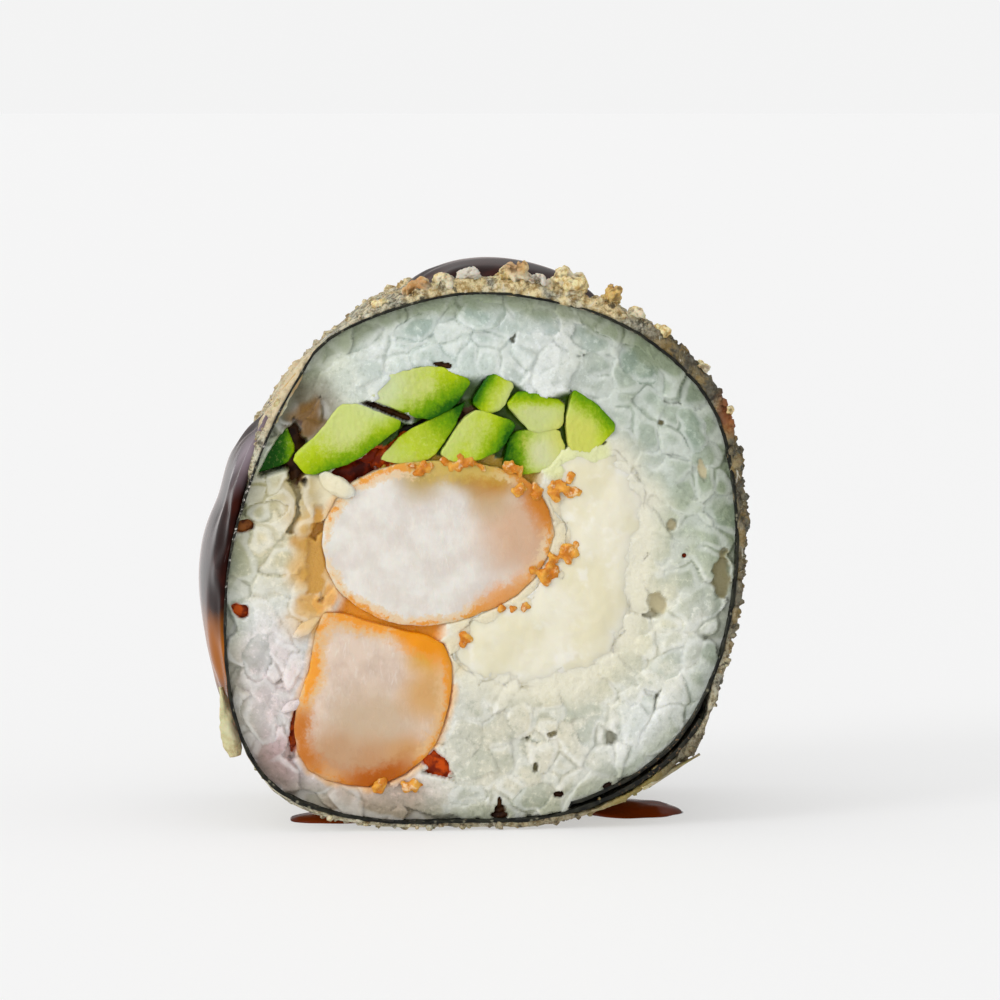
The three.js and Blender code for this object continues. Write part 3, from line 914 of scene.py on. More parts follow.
def riceColour(tree, place, base):
    for spot, reach, colour in riceHues["washesAndShade"]:
        washed = mixColour(tree, 1.0, base, rgb(*colour), "MULTIPLY")
        base = mixColour(tree, near(tree, place, spot, reach), base, washed)
    return stainAll(tree, place, base, riceHues["stains"], 0.9, 0.85)


def makeRiceMaterial():
    material, tree, shader, place = startSoftMaterial("cookedRice", 0.5, 0.6, (1.2, 1.15, 0.95), 0.3, 0.32)
    tone = maskOf(tree, "grainTone")
    tint = addNode(tree, "ShaderNodeAttribute", attribute_name="tint")
    base = mixColour(tree, remap(tree, tone, 0.2, 1.0), rgb(228, 230, 226), rgb(206, 211, 206))
    glassy = maskOf(tree, "glassy")
    base = mixColour(tree, remap(tree, glassy, 0.0, 1.0, 0.0, 0.8), base, rgb(182, 194, 188))
    cloud = noiseNode(tree, place, 420.0, 3.0)
    base = mixColour(tree, remap(tree, cloud, 0.44, 0.66, 0, 0.55), base, rgb(240, 240, 234))
    # fine specks: the bright ones are painted glints, the dark ones mottling; the same noise also makes a
    # bump
    specksAndGlints = noiseNode(tree, place, 1700.0, 4.0, 0.7)
    base = mixColour(tree, remap(tree, specksAndGlints, 0.53, 0.66, 0, 0.6), base, rgb(250, 252, 250))
    base = mixColour(tree, remap(tree, specksAndGlints, 0.47, 0.34, 0, 0.45), base, rgb(178, 186, 174))
    base = riceColour(tree, place, base)
    rimmed = mixColour(tree, 1.0, base, rgb(206, 210, 196), "MULTIPLY")
    base = mixColour(tree, maskOf(tree, "rim"), base, rimmed)
    base = mixColour(tree, times(tree, maskOf(tree, "creamy"), 0.9), base, rgb(234, 230, 210))
    seam = maskOf(tree, "seam")
    # painted highlight on each cut grain's rounded shoulder, just in from its border
    shoulderHighlight = times(tree, remap(tree, seam, 0.42, 0.7), remap(tree, seam, 0.97, 0.8))
    base = mixColour(tree, times(tree, shoulderHighlight, 0.32), base, rgb(246, 248, 245))
    # painted shade in broken dark lines where two grains meet
    seamShade = remap(tree, noiseNode(tree, place, 520.0, 2.0), 0.42, 0.58, 0.0, 0.22)
    base = mixColour(tree, times(tree, remap(tree, seam, 0.8, 1.0), seamShade), base, rgb(176, 180, 164))
    base = mixColour(tree, tint.outputs["Alpha"], base, tint.outputs["Color"])
    tree.links.new(base, shader.inputs["Base Color"])
    wet = useGroup(tree, wetGrain, place, Scale=2600.0)
    tree.links.new(remap(tree, wet.outputs["Gloss"], 0, 1, 0.42, 0.18), shader.inputs["Roughness"])
    addBump(tree, shader, plus(tree, wet.outputs["Height"], specksAndGlints), 0.75, 0.14)
    return material


grainModel = makeGrainModel()
riceMaterial = makeRiceMaterial()
riceFront = makeRiceFace(-1, "riceFront")
riceBack = makeRiceFace(1, "riceBack")
riceCore = makeRiceCore()
looseRice = makeLooseGrains(grainModel)
gapFill = makeGapFill()
gapFill.data.materials.append(makeGapMaterial())
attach(gapFill, "root")
for piece in (riceFront, riceBack, riceCore, looseRice):
    piece.data.materials.append(riceMaterial)
    smoothShade(piece)
    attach(piece, "root")
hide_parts("rice")
print("rice done")

# Shrimps.
shrimp = {
    "voxel": 0.22,
    "swell": 0.3,  # mm, closes the gap that the solids keep
}


def swellPiece(piece, amount):
    points = getPoints(piece)
    normals = getNormals(piece)
    points += normals * np.array([1, 0.35, 1]) * amount * mm
    setPoints(piece, points)


def outlineDistance(piece, nodeName):  # mm from the filling's side wall, in the cut's plane
    tree = trees[nodeName]
    points = getPoints(piece)
    low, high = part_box(nodeName)
    result = []
    for point in points:
        inside = Vector((point[0], min(max(point[1], low.y + 2.5 * mm), high.y - 2.5 * mm), point[2]))
        found = tree.find_nearest(inside)
        result.append(found[3] / mm if found[0] is not None else 0)
    return np.array(result)


def makeShrimp(nodeName, name):
    piece = copyOfNode(nodeName, name)
    swellPiece(piece, shrimp["swell"])
    remeshPiece(piece, shrimp["voxel"], 3)
    points = getPoints(piece)
    lumps = 0.12 * noiseAt(points, 3.2, 2.0) + 0.035 * noiseAt(points, 0.9, 3.0)
    setPoints(piece, pushOut(piece, points, lumps))
    writeMask(piece, "fromEdge", outlineDistance(piece, nodeName))
    smoothShade(piece)
    return piece


def makeShrimpMaterial(name, settings):
    material, tree, shader, place = startSoftMaterial(name, 0.4, 0.9, (1.5, 0.9, 0.6), 0.3, 0.2)
    edge = maskOf(tree, "fromEdge")
    wave = noiseNode(tree, place, 380.0, 3.0)
    crisp = noiseNode(tree, place, 2200.0, 3.0, 0.7)
    uneven = times(tree, mathNode(tree, "SUBTRACT", plus(tree, wave, crisp), 1.0), 1.7)
    inside = plus(tree, edge, uneven)
    for spot, reach, amount in settings["thin"]:
        inside = plus(tree, inside, times(tree, near(tree, place, spot, reach, 0.4), amount))
    fibre = stretchPlace(tree, place, (1.0, 1.0, 0.35))
    strands = noiseNode(tree, fibre, 2600.0, 5.0, 0.7, 0.6)
    cloud = remap(tree, noiseNode(tree, place, 420.0, 4.0), 0.35, 0.65)
    flesh = mixColour(tree, cloud, settings["flesh"], settings["fleshShade"])
    flesh = mixColour(tree, remap(tree, strands, 0.5, 0.7, 0, 0.3), flesh, rgb(244, 238, 230))
    for spot, reach, colour in settings["stains"]:
        flesh = mixColour(tree, near(tree, place, spot, reach, 0.5), flesh, colour)
    warm = mixColour(tree, remap(tree, inside, settings["rim"] * 2.4, 0.5), flesh, settings["warm"])
    rim = mixColour(tree, remap(tree, inside, settings["rim"], 0.0), warm, settings["orange"])
    for spot, reach, colour in settings["burns"]:
        mask = times(tree, near(tree, place, spot, reach, 0.6), remap(tree, inside, 2.0, 0.5))
        rim = mixColour(tree, mask, rim, colour)
    tree.links.new(rim, shader.inputs["Base Color"])
    wet = useGroup(tree, wetGrain, place, Scale=1900.0)
    height = plus(tree, times(tree, wet.outputs["Height"], 0.5), strands)
    addBump(tree, shader, height, 0.35, 0.12)
    tree.links.new(remap(tree, wet.outputs["Gloss"], 0, 1, 0.42, 0.2), shader.inputs["Roughness"])
    return material


shrimpUpper = makeShrimp("shrimp_upper", "shrimpUpper")
shrimpLower = makeShrimp("shrimp_lower", "shrimpLower")
upperMaterial = makeShrimpMaterial("shrimpUpperFlesh", {
    "flesh": rgb(231, 227, 219), "fleshShade": rgb(220, 212, 203), "warm": rgb(230, 204, 168),
    "orange": rgb(232, 158, 66), "rim": 0.42,
    "thin": [(onFace(-13.3, 24.5), 7.0, 0.5), (onFace(-6, 17.5), 6.0, 0.25)],
    "stains": [(onFace(3.6, 25.0), 6.0, rgb(213, 178, 148)), (onFace(0.5, 28.0), 2.8, rgb(202, 174, 138)),
               (onFace(-5.0, 30.6), 3.6, rgb(182, 154, 92)), (onFace(-1.6, 30.4), 3.0, rgb(180, 142, 68)),
               (onFace(0.8, 30.0), 3.0, rgb(190, 134, 44))],
    "burns": [(onFace(5.5, 27.8), 4.2, rgb(206, 128, 40)), (onFace(-2, 30.6), 5.5, rgb(206, 176, 90)),
              (onFace(3, 18.2), 5.5, rgb(226, 158, 92))],
})
lowerMaterial = makeShrimpMaterial("shrimpLowerFlesh", {
    "flesh": rgb(224, 204, 186), "fleshShade": rgb(210, 188, 170), "warm": rgb(226, 186, 136),
    "orange": rgb(238, 158, 54), "rim": 0.6,
    "thin": [(onFace(-15, 8.4), 4.0, 0.35)],
    "stains": [(onFace(-9.5, 8.6), 5.2, rgb(204, 180, 152)), (onFace(-9.5, 5.2), 4.2, rgb(196, 150, 108)),
               (onFace(-12.8, 6.4), 3.4, rgb(197, 157, 120)), (onFace(-6.2, 6.0), 3.2, rgb(208, 158, 104)),
               (onFace(-4.5, 11.6), 3.6, rgb(216, 170, 112)), (onFace(-4.2, 15.4), 3.4, rgb(222, 168, 72))],
    "burns": [(onFace(-9, 4.2), 5.0, rgb(182, 94, 4)), (onFace(-4.5, 16.8), 4.6, rgb(236, 150, 14)),
              (onFace(-15, 7), 4.8, rgb(196, 118, 44))],
})
for piece, material, node in (
        (shrimpUpper, upperMaterial, "shrimp_upper"), (shrimpLower, lowerMaterial, "shrimp_lower")):
    piece.data.materials.append(material)
    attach(piece, "root")
    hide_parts(node)
print("shrimps done")

# Cucumber.
cucumber = {
    "voxel": 0.14,
    "swell": 1.05,  # mm wider and higher than the solid, so that neighbours touch
    # by stick: further mm across and up, and mm moved right and up
    "longer": {0: (0.0, 0.15, -0.1, -0.08), 1: (0.9, 0.4, -0.35, -0.38), 8: (0.2, 0.9, 0, 0.1)},
    # pale translucent places: right, up, reach, colour
    "washed": [
        (-8.9, 36.9, 3.6, (206, 216, 168)), (4.8, 35.6, 4.6, (200, 208, 140)),
        (5.2, 31.4, 2.4, (212, 214, 168)), (7.6, 32.8, 3.2, (206, 208, 96)),
        (-11.2, 34.4, 2.4, (206, 216, 132)), (2.4, 32.4, 1.8, (190, 184, 60)),
    ],
    # where its skin lies in degrees round the section, how green it is, how pale its heart
    "sticks": [
        (-62, 0.5, 0.85), (-58, 0.6, 0.7), (40, 0.7, 0.1), (-30, 0.35, 0.5), (150, 0.8, 0.2),
        (48, 0.6, 0.4), (90, 0.0, 0.8), (180, 0.8, 0.7), (180, 3.4, 0.0),
    ],
}


def makeCucumber(number, skinAngle):
    nodeName = f"cucumber_{number + 1}"
    piece = copyOfNode(nodeName, f"cucumber{number + 1}")
    points = getPoints(piece)
    low, high = points.min(axis=0), points.max(axis=0)
    middle = (low + high) / 2
    wider, higher, right, up = cucumber["longer"].get(number, (0, 0, 0, 0))
    swell = np.array([cucumber["swell"] + wider, 0, cucumber["swell"] + higher]) * mm
    points = middle + (points - middle) * (1 + swell / (high - low)) + np.array([right, 0, up]) * mm
    points[:, 2] = np.maximum(points[:, 2], 0.5 * mm)
    setPoints(piece, points)
    remeshPiece(piece, cucumber["voxel"])
    points = getPoints(piece)
    ripples = 0.05 * noiseAt(points, 1.3, number) + 0.04 * noiseAt(points, 0.5, number + 20.0)
    setPoints(piece, pushOut(piece, points, ripples))
    low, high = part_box(nodeName)
    share = (points[:, 1] - low.y) / (high.y - low.y)
    startPoints = points[points[:, 1] < low.y + 2 * mm]
    endPoints = points[points[:, 1] > high.y - 2 * mm]
    middle = startPoints.mean(axis=0) * (1 - share)[:, None] + endPoints.mean(axis=0) * share[:, None]
    out = np.array([math.cos(math.radians(skinAngle)), 0, math.sin(math.radians(skinAngle))])
    along = (points - middle) @ out
    writeMask(piece, "skinward", along / np.abs(along).max())
    radius = np.hypot(points[:, 0] - middle[:, 0], points[:, 2] - middle[:, 2])
    writeMask(piece, "fromHeart", radius / radius.max())
    smoothShade(piece)
    return piece


def makeCucumberMaterial(name, green, paleness):
    material, tree, shader, place = startSoftMaterial(name, 0.25, 0.4, (0.7, 1.2, 0.3), 0.3, 0.1)
    skinward = maskOf(tree, "skinward")
    heart = maskOf(tree, "fromHeart")
    soft = mathNode(tree, "SUBTRACT", noiseNode(tree, place, 700.0, 4.0), 0.5)
    sharp = mathNode(tree, "SUBTRACT", noiseNode(tree, place, 3400.0, 3.0, 0.7), 0.5)
    wave = times(tree, plus(tree, soft, sharp), 0.55)
    level = plus(tree, skinward, wave)
    ramp = addNode(tree, "ShaderNodeValToRGB")
    shifted = plus(tree, times(tree, level, 0.5), 0.32 + 0.2 * green)
    tree.links.new(shifted, ramp.inputs[0])
    stops = ramp.color_ramp.elements
    stops[0].position = 0.08
    stops[0].color = rgb(196, 208, 112)
    stops[1].position = 1.0
    stops[1].color = rgb(16, 74, 0)
    for position, colour in ((0.34, rgb(186, 204, 40)), (0.52, rgb(164, 188, 0)), (0.72, rgb(104, 152, 0)),
                             (0.86, rgb(34, 94, 0))):
        stops.new(position).color = colour
    heartMask = times(tree, remap(tree, plus(tree, heart, wave), 0.62, 0.1), paleness)
    notSkin = remap(tree, level, 0.5, -0.1)
    colour = mixColour(tree, times(tree, heartMask, notSkin), ramp.outputs[0], rgb(204, 210, 136))
    flecks = noiseNode(tree, place, 2600.0, 3.0, 0.7)
    pale = times(tree, remap(tree, flecks, 0.52, 0.7, 0, 0.25), notSkin)
    colour = mixColour(tree, pale, colour, rgb(224, 228, 140))
    for right, up, reach, tint in cucumber["washed"]:
        washed = times(tree, near(tree, place, onFace(right, up), reach, 0.5), notSkin)
        colour = mixColour(tree, times(tree, washed, 0.85), colour, rgb(*tint))
    tree.links.new(colour, shader.inputs["Base Color"])
    cellPlace = stretchPlace(tree, place, (1.0, 0.5, 0.5))
    cells = addNode(tree, "ShaderNodeTexVoronoi", {"Vector": cellPlace, "Scale": 2600.0}).outputs["Distance"]
    wet = useGroup(tree, wetGrain, place, Scale=2200.0)
    height = plus(tree, times(tree, cells, 0.7), wet.outputs["Height"])
    addBump(tree, shader, height, 0.6, 0.14)
    tree.links.new(remap(tree, wet.outputs["Gloss"], 0, 1, 0.4, 0.16), shader.inputs["Roughness"])
    return material


for number, (skinAngle, green, pale) in enumerate(cucumber["sticks"]):
    stick = makeCucumber(number, skinAngle)
    stick.data.materials.append(makeCucumberMaterial(f"cucumberFlesh{number + 1}", green, pale))
    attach(stick, "root")
    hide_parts(f"cucumber_{number + 1}")
print("cucumber done")

# Cream cheese.
cream = {
    "voxel": 0.2,
    "swell": 0.75,  # mm, into the rice all round
    "dip": 0.42,  # mm that its border lies lower than its middle
}


def makeCream():
    piece = copyOfNode("cream_cheese", "creamCheese")
    swellPiece(piece, cream["swell"])
    remeshPiece(piece, cream["voxel"], 6, 0.6)
    points = getPoints(piece)
    normals = getNormals(piece)
    folds = 0.16 * noiseAt(points, 5.0, 4.0) + 0.1 * noiseAt(points, 1.8, 6.0)
    folds = folds + 0.04 * noiseAt(points, 0.6, 8.0)
    ragged = 0.7 * noiseAt(points, 3.2, 14.0) + 0.4 * noiseAt(points, 1.3, 16.0)
    points += normals * np.array([1, 0, 1]) * ragged[:, None] * mm
    points += normals * folds[:, None] * mm
    outline = fillingDistances(points, -1)[fillingNames.index("cream_cheese")]
    inward = smoothStep(-outline, -0.9, 1.8)
    ends = np.abs(normals[:, 1]) > 0.5
    points[:, 1] -= np.sign(normals[:, 1]) * np.where(ends, cream["dip"] * (1 - inward), 0.0) * mm
    setPoints(piece, points)
    smoothShade(piece)
    return piece


def makeCreamMaterial():
    material, tree, shader, place = startSoftMaterial("creamCheese", 0.4, 1.0, (1.3, 1.1, 0.7), 0.42, 0.4)
    shader.inputs["Coat Weight"].default_value = 0.08
    cloud = noiseNode(tree, place, 230.0, 3.0)
    base = mixColour(tree, remap(tree, cloud, 0.38, 0.66), rgb(234, 229, 208), rgb(228, 221, 190))
    streak = noiseNode(tree, place, 520.0, 3.0)
    base = mixColour(tree, remap(tree, streak, 0.54, 0.7, 0, 0.6), base, rgb(242, 239, 228))
    tree.links.new(base, shader.inputs["Base Color"])
    wet = useGroup(tree, wetGrain, place, Scale=1100.0)
    addBump(tree, shader, wet.outputs["Height"], 0.22, 0.15)
    return material


creamCheese = makeCream()
creamCheese.data.materials.append(makeCreamMaterial())
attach(creamCheese, "root")
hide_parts("cream_cheese")
print("cream done")

# Seaweed.
seaweed = {
    "levels": 2,  # times its faces are subdivided
    "swell": -0.06,
    "thinner": 0.17,  # mm that the cut edge is thinner on its inner side
    "edge": 1.2,  # mm behind each cut that this reaches
}


def makeSeaweed():
    piece = copyOfNode("nori", "noriSheet")
    tuckIn(piece)
    swellPiece(piece, seaweed["swell"])
    levels = seaweed["levels"]
    addModifier(piece, "SUBSURF", subdivision_type="SIMPLE", levels=levels, render_levels=levels)
    applyModifiers(piece)
    points = getPoints(piece)
    crinkle = 0.09 * noiseAt(points, 1.6, 1.0) + 0.05 * noiseAt(points, 0.6, 2.0)
    points = pushOut(piece, points, crinkle)
    angles, radii = polar(points)
    thinner = (seaweed["thinner"] + 0.05 * noiseAt(points, 2.2, 4.0)) * mm
    thin = lookUp(wrapTable, angles, points[:, 1]) + thinner
    edge = np.abs(points[:, 1]) > (backY - frontY) / 2 - seaweed["edge"] * mm
    radii = np.where(edge & (radii < thin), thin, radii)
    setPoints(piece, fromPolar(angles, radii, points[:, 1]))
    smoothShade(piece)
    return piece


def makeSeaweedMaterial():
    material, tree, shader, place = startMaterial(
        "roastedSeaweed", **{"Roughness": 0.45, "Specular IOR Level": 0.2})
    cloud = noiseNode(tree, place, 900.0, 4.0)
    base = mixColour(tree, remap(tree, cloud, 0.4, 0.62), rgb(14, 15, 10), rgb(38, 38, 28))
    # pale flecks: painted broken highlights on the dark sheet
    flecks = useGroup(tree, speckle, place, Scale=2100.0, Amount=0.2)
    base = mixColour(tree, times(tree, flecks.outputs[0], 0.6), base, rgb(150, 146, 122))
    salt = remap(tree, noiseNode(tree, place, 2600.0, 4.0, 0.75), 0.56, 0.64)
    worn = ((onFace(-20.5, 27), 12.0, (206, 200, 192)), (onFace(15, 7), 8.0, (116, 92, 66)))
    for spot, reach, colour in worn:
        share = times(tree, salt, near(tree, place, spot, reach, 0.5))
        base = mixColour(tree, share, base, rgb(*colour))
    tree.links.new(base, shader.inputs["Base Color"])
    addBump(tree, shader, cloud, 0.6, 0.15)
    return material


noriSheet = makeSeaweed()
noriSheet.data.materials.append(makeSeaweedMaterial())
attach(noriSheet, "root")
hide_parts("nori")
print("seaweed done")

# Batter coat, with its crumbs, nuggets and flakes.
coat = {
    "voxel": 0.27,
    "inward": 0.5,  # mm, so the batter meets the seaweed
    "kept": 0.76,  # share of the faces that stays
    "crumbs": 3000,  # tries, of which many are passed over
    "crumbSize": (0.3, 0.95),  # mm across
    "atFront": 0.42,  # share of the crumbs that gathers at the front edge
    "seed": 5,
    "lumps": 12,  # in each nugget
    # nuggets on the front edge: angle round the roll, mm across, mm high, mm behind the front
    "nuggets": [
        (112, 2.0, 0.5, 1.0), (103.5, 2.4, 1.0, 0.9), (98.5, 2.2, 0.9, 0.8), (92.6, 2.5, 1.3, 0.8),
        (84, 3.2, 2.1, 0.9), (79, 1.5, 1.0, 0.7), (72.4, 4.0, 2.3, 0.9), (64, 1.9, 2.2, 0.9),
        (57.6, 2.2, 0.9, 0.8), (51.4, 1.8, 0.9, 0.8), (41, 1.3, 0.9, 0.7), (31, 1.0, 0.5, 0.8),
    ],
    # thin sheets of batter: right, up, depth, wide, high, turn in degrees, how pointed
    "flakes": [
        (-16.6, 36.0, 0.25, 1.3, 5.6, 31, 0.2), (-21.3, 9.2, 1.2, 2.2, 6.0, -12, 0.7),
        (15.7, 4.8, 0.1, 1.0, 5.6, 60, 0.95),
    ],
}


def coatSurface(angles, ys):  # radius of the batter itself, below the height that its lumps reach
    degrees = np.degrees(angles) % 360
    lower = np.interp(
        degrees, (0, 30, 55, 100, 112, 122, 130, 138, 146, 160, 170, 178, 204, 230, 300, 330, 360),
        (0.5, 0.5, 0.7, 0.75, 0.9, 1.0, 0.85, 0.5, 0.3, 0.3, 0.7, 1.1, 1.1, 0.35, 0.15, 0.35, 0.5))
    flank = smoothStep(degrees, 134, 148) * (1 - smoothStep(degrees, 168, 180))
    lower = lower + 0.85 * flank * smoothStep((ys - frontY) / mm, 1.0, 7.0)
    return lookUp(coatTable, angles, ys) - lower * mm


def coatRoughness(angles, ys):  # crusty on top and right, a thin skin on the left where the front edge is
    degrees = np.degrees(angles) % 360
    table = np.interp(degrees, (0, 20, 100, 125, 150, 215, 240, 300, 330, 360),
                      (0.55, 0.65, 0.7, 0.28, 0.28, 0.25, 0.4, 0.5, 0.5, 0.55))
    behind = smoothStep((ys - frontY) / mm, 2.0, 6.0)
    return table * (1 - behind) + np.maximum(table, 0.7) * behind


def makeCoat():
    piece = copyOfNode("tempura_coat", "tempuraCoat")
    tuckIn(piece)
    points = getPoints(piece)
    angles, radii = polar(points)
    wrap = lookUp(wrapTable, angles, points[:, 1])
    outer = lookUp(coatTable, angles, points[:, 1])
    innerSide = radii < (wrap + 0.4 * mm + (outer - wrap) * 0.45)
    radii = np.where(innerSide, radii - coat["inward"] * mm, radii)
    degrees = np.degrees(angles) % 360
    bare = smoothStep(degrees, 158, 166) * (1 - smoothStep(degrees, 218, 250))
    slope = np.where(innerSide, 0.3, 2.6) * bare * (points[:, 1] < frontY + 0.6 * mm)
    radii -= np.where(innerSide, 0, outer - coatSurface(angles, points[:, 1]))
    setPoints(piece, fromPolar(angles, radii, points[:, 1] + slope * mm))
    remeshPiece(piece, coat["voxel"], 2)
    points = getPoints(piece)
    normals = getNormals(piece)
    angles, radii = polar(points)
    outward = smoothStep(radii - lookUp(wrapTable, angles, points[:, 1]), 0.7 * mm, 1.3 * mm)
    rough = 0.34 * noiseAt(points, 1.5, 2.0, 3) + 0.2 * noiseAt(points, 0.6, 9.0)
    rough *= coatRoughness(angles, points[:, 1])
    rough += 0.25 * noiseAt(points, 4.0, 12.0) * smoothStep(points[:, 1], frontY + 2 * mm, frontY + 6 * mm)
    frontEnd = smoothStep(-points[:, 1], -frontY - 1.2 * mm, -frontY)
    ends = np.maximum(frontEnd, smoothStep(points[:, 1], backY - 1.2 * mm, backY))
    lift = rough * (0.15 + 0.85 * np.maximum(outward, ends * 0.6))
    points += normals * lift[:, None] * mm
    points[:, 2] = np.maximum(points[:, 2], 0)
    points[:, 1] = np.clip(points[:, 1], frontY - 0.25 * mm, backY + 0.25 * mm)
    setPoints(piece, points)
    addModifier(piece, "DECIMATE", ratio=coat["kept"])
    applyModifiers(piece)
    smoothShade(piece)
    return piece


def makeCrumbModel(name, level, seed):
    bpy.ops.mesh.primitive_ico_sphere_add(subdivisions=level, radius=0.5)
    crumb = nameIt(bpy.context.object, name)
    points = getPoints(crumb)
    bumps = noiseAt(points, 380.0, seed, 2)
    points *= (1 + 0.42 * bumps)[:, None]
    setPoints(crumb, points)
    addModifier(crumb, "DECIMATE", ratio=0.55)
    applyModifiers(crumb)
    return crumb


def makeCrumbs():
    draw = random.Random(coat["seed"])
    models = [makeCrumbModel(f"crumbModel{i}", 2, 3.0 + i) for i in range(4)]
    crumbs = []
    for number in range(coat["crumbs"]):
        atFront = draw.random() < coat["atFront"]
        degrees = draw.uniform(0, 360)
        if 215 < degrees < 330 and draw.random() < 0.6:
            continue
        if atFront:
            y = frontY + (0.15 + abs(draw.gauss(0, 0.9))) * mm
        else:
            y = draw.uniform(frontY + 0.2 * mm, backY - 0.2 * mm)
        if 154 < degrees < 236 and y < frontY + 2.4 * mm or 118 < degrees < 140 and y < frontY + 6 * mm:
            continue
        angle = np.array([math.radians(degrees)])
        # none under the middle of the sauce
        if (72 < degrees < 98 or 150 < degrees < 210) and frontY + 2 * mm < y < backY - 4 * mm:
            continue
        if draw.random() > coatRoughness(angle, np.array([y]))[0]:
            continue
        outer = coatSurface(angle, np.array([y]))[0]
        wrap = lookUp(wrapTable, angle, np.array([y]))[0] + 0.5 * mm
        across = draw.uniform(*coat["crumbSize"]) * (0.75 if atFront else 1)
        share = draw.uniform(0.25, 1.0) if atFront and y < frontY + 0.5 * mm else 1.0
        radius = wrap + (outer - wrap) * share - 0.1 * across * mm
        place = fromPolar(angle, np.array([radius]), np.array([y]))[0]
        if place[2] < across * 0.5 * mm:
            continue
        size = [across * draw.uniform(0.7, 1.3) for _ in range(3)]
        matrix = stretched(Matrix.Translation(place) @ randomTurn(draw), size)
        crumbs.append(copyGrain(models[number % 4], matrix, f"crumb{number}"))
    piece = joinAll(crumbs, "batterCrumbs")
    for model in models:
        bpy.data.objects.remove(model)
    smoothShade(piece)
    return piece


def makeNuggets():  # lumps of batter that stand on the coat's front edge
    draw = random.Random(coat["seed"] + 1)
    model = makeCrumbModel("nuggetModel", 3, 8.0)
    parts = []
    for degrees, across, high, behind in coat["nuggets"]:
        angle = math.radians(degrees)
        upright = Matrix.Rotation(math.pi / 2 - angle, 4, "Y")
        for _ in range(coat["lumps"]):
            y = frontY + (behind + draw.uniform(-0.7, 0.9)) * mm
            outer = coatSurface(np.array([angle]), np.array([y]))[0] - 0.05 * mm
            level = draw.random()
            swing = draw.uniform(-0.44, 0.44) * across * (1 - 0.6 * level) * mm / outer
            radius = outer + high * level * 0.6 * mm
            place = fromPolar(np.array([angle + swing]), np.array([radius]), np.array([y]))[0]
            size = [max(0.5, across * draw.uniform(0.26, 0.5)) * draw.uniform(0.8, 1.2) for _ in range(3)]
            matrix = stretched(Matrix.Translation(place) @ upright @ randomTurn(draw), size)
            parts.append(copyGrain(model, matrix, f"nugget{len(parts)}"))
    bpy.data.objects.remove(model)
    piece = joinAll(parts, "batterNuggets")
    remeshPiece(piece, 0.13, 1)
    points = getPoints(piece)
    bumps = 0.17 * noiseAt(points, 0.8, 2.0) + 0.12 * noiseAt(points, 0.35, 5.0, 3)
    # where the bumps dip, used for painted shade in the hollows
    writeMask(piece, "hollowShade", smoothStep(-bumps, -0.02, 0.1))
    points = pushOut(piece, points, bumps)
    points[:, 1] = np.maximum(points[:, 1], frontY - 0.25 * mm)
    setPoints(piece, points)
    smoothShade(piece)
    return piece


def makeFlakes():
    parts = []
    for number, (right, up, depth, wide, high, turn, pointed) in enumerate(coat["flakes"]):
        bpy.ops.mesh.primitive_grid_add(x_subdivisions=26, y_subdivisions=44, size=2)
        sheet = nameIt(bpy.context.object, f"flake{number}")
        points = getPoints(sheet)
        u, v = points[:, 0], points[:, 1]
        flat = np.stack([u * wide, v * high, np.full(len(u), 9.0 * number)], axis=1) * mm / 2
        ragged = 1 - 0.5 * v * v + 0.26 * noiseAt(flat, 2.0, 3.0) + 0.08 * noiseAt(flat, 0.5, 4.0)
        ragged = ragged * (1 - pointed * (v * 0.5 + 0.5))
        curl = 0.4 * u * u + 0.35 * noiseAt(flat, 2.0, 5.0) + 0.05 * noiseAt(flat, 0.5, 6.0)
        setPoints(sheet, np.stack([u * ragged * wide / 2, curl, v * high / 2], axis=1) * mm)
        addModifier(sheet, "SOLIDIFY", thickness=0.1 * mm)
        applyModifiers(sheet)
        turned = Matrix.Rotation(math.radians(turn), 4, "Y")
        sheet.data.transform(Matrix.Translation(onFace(right, up, depth)) @ turned)
        parts.append(sheet)
    piece = joinAll(parts, "batterFlakes")
    turnOutward(piece)
    smoothShade(piece)
    return piece


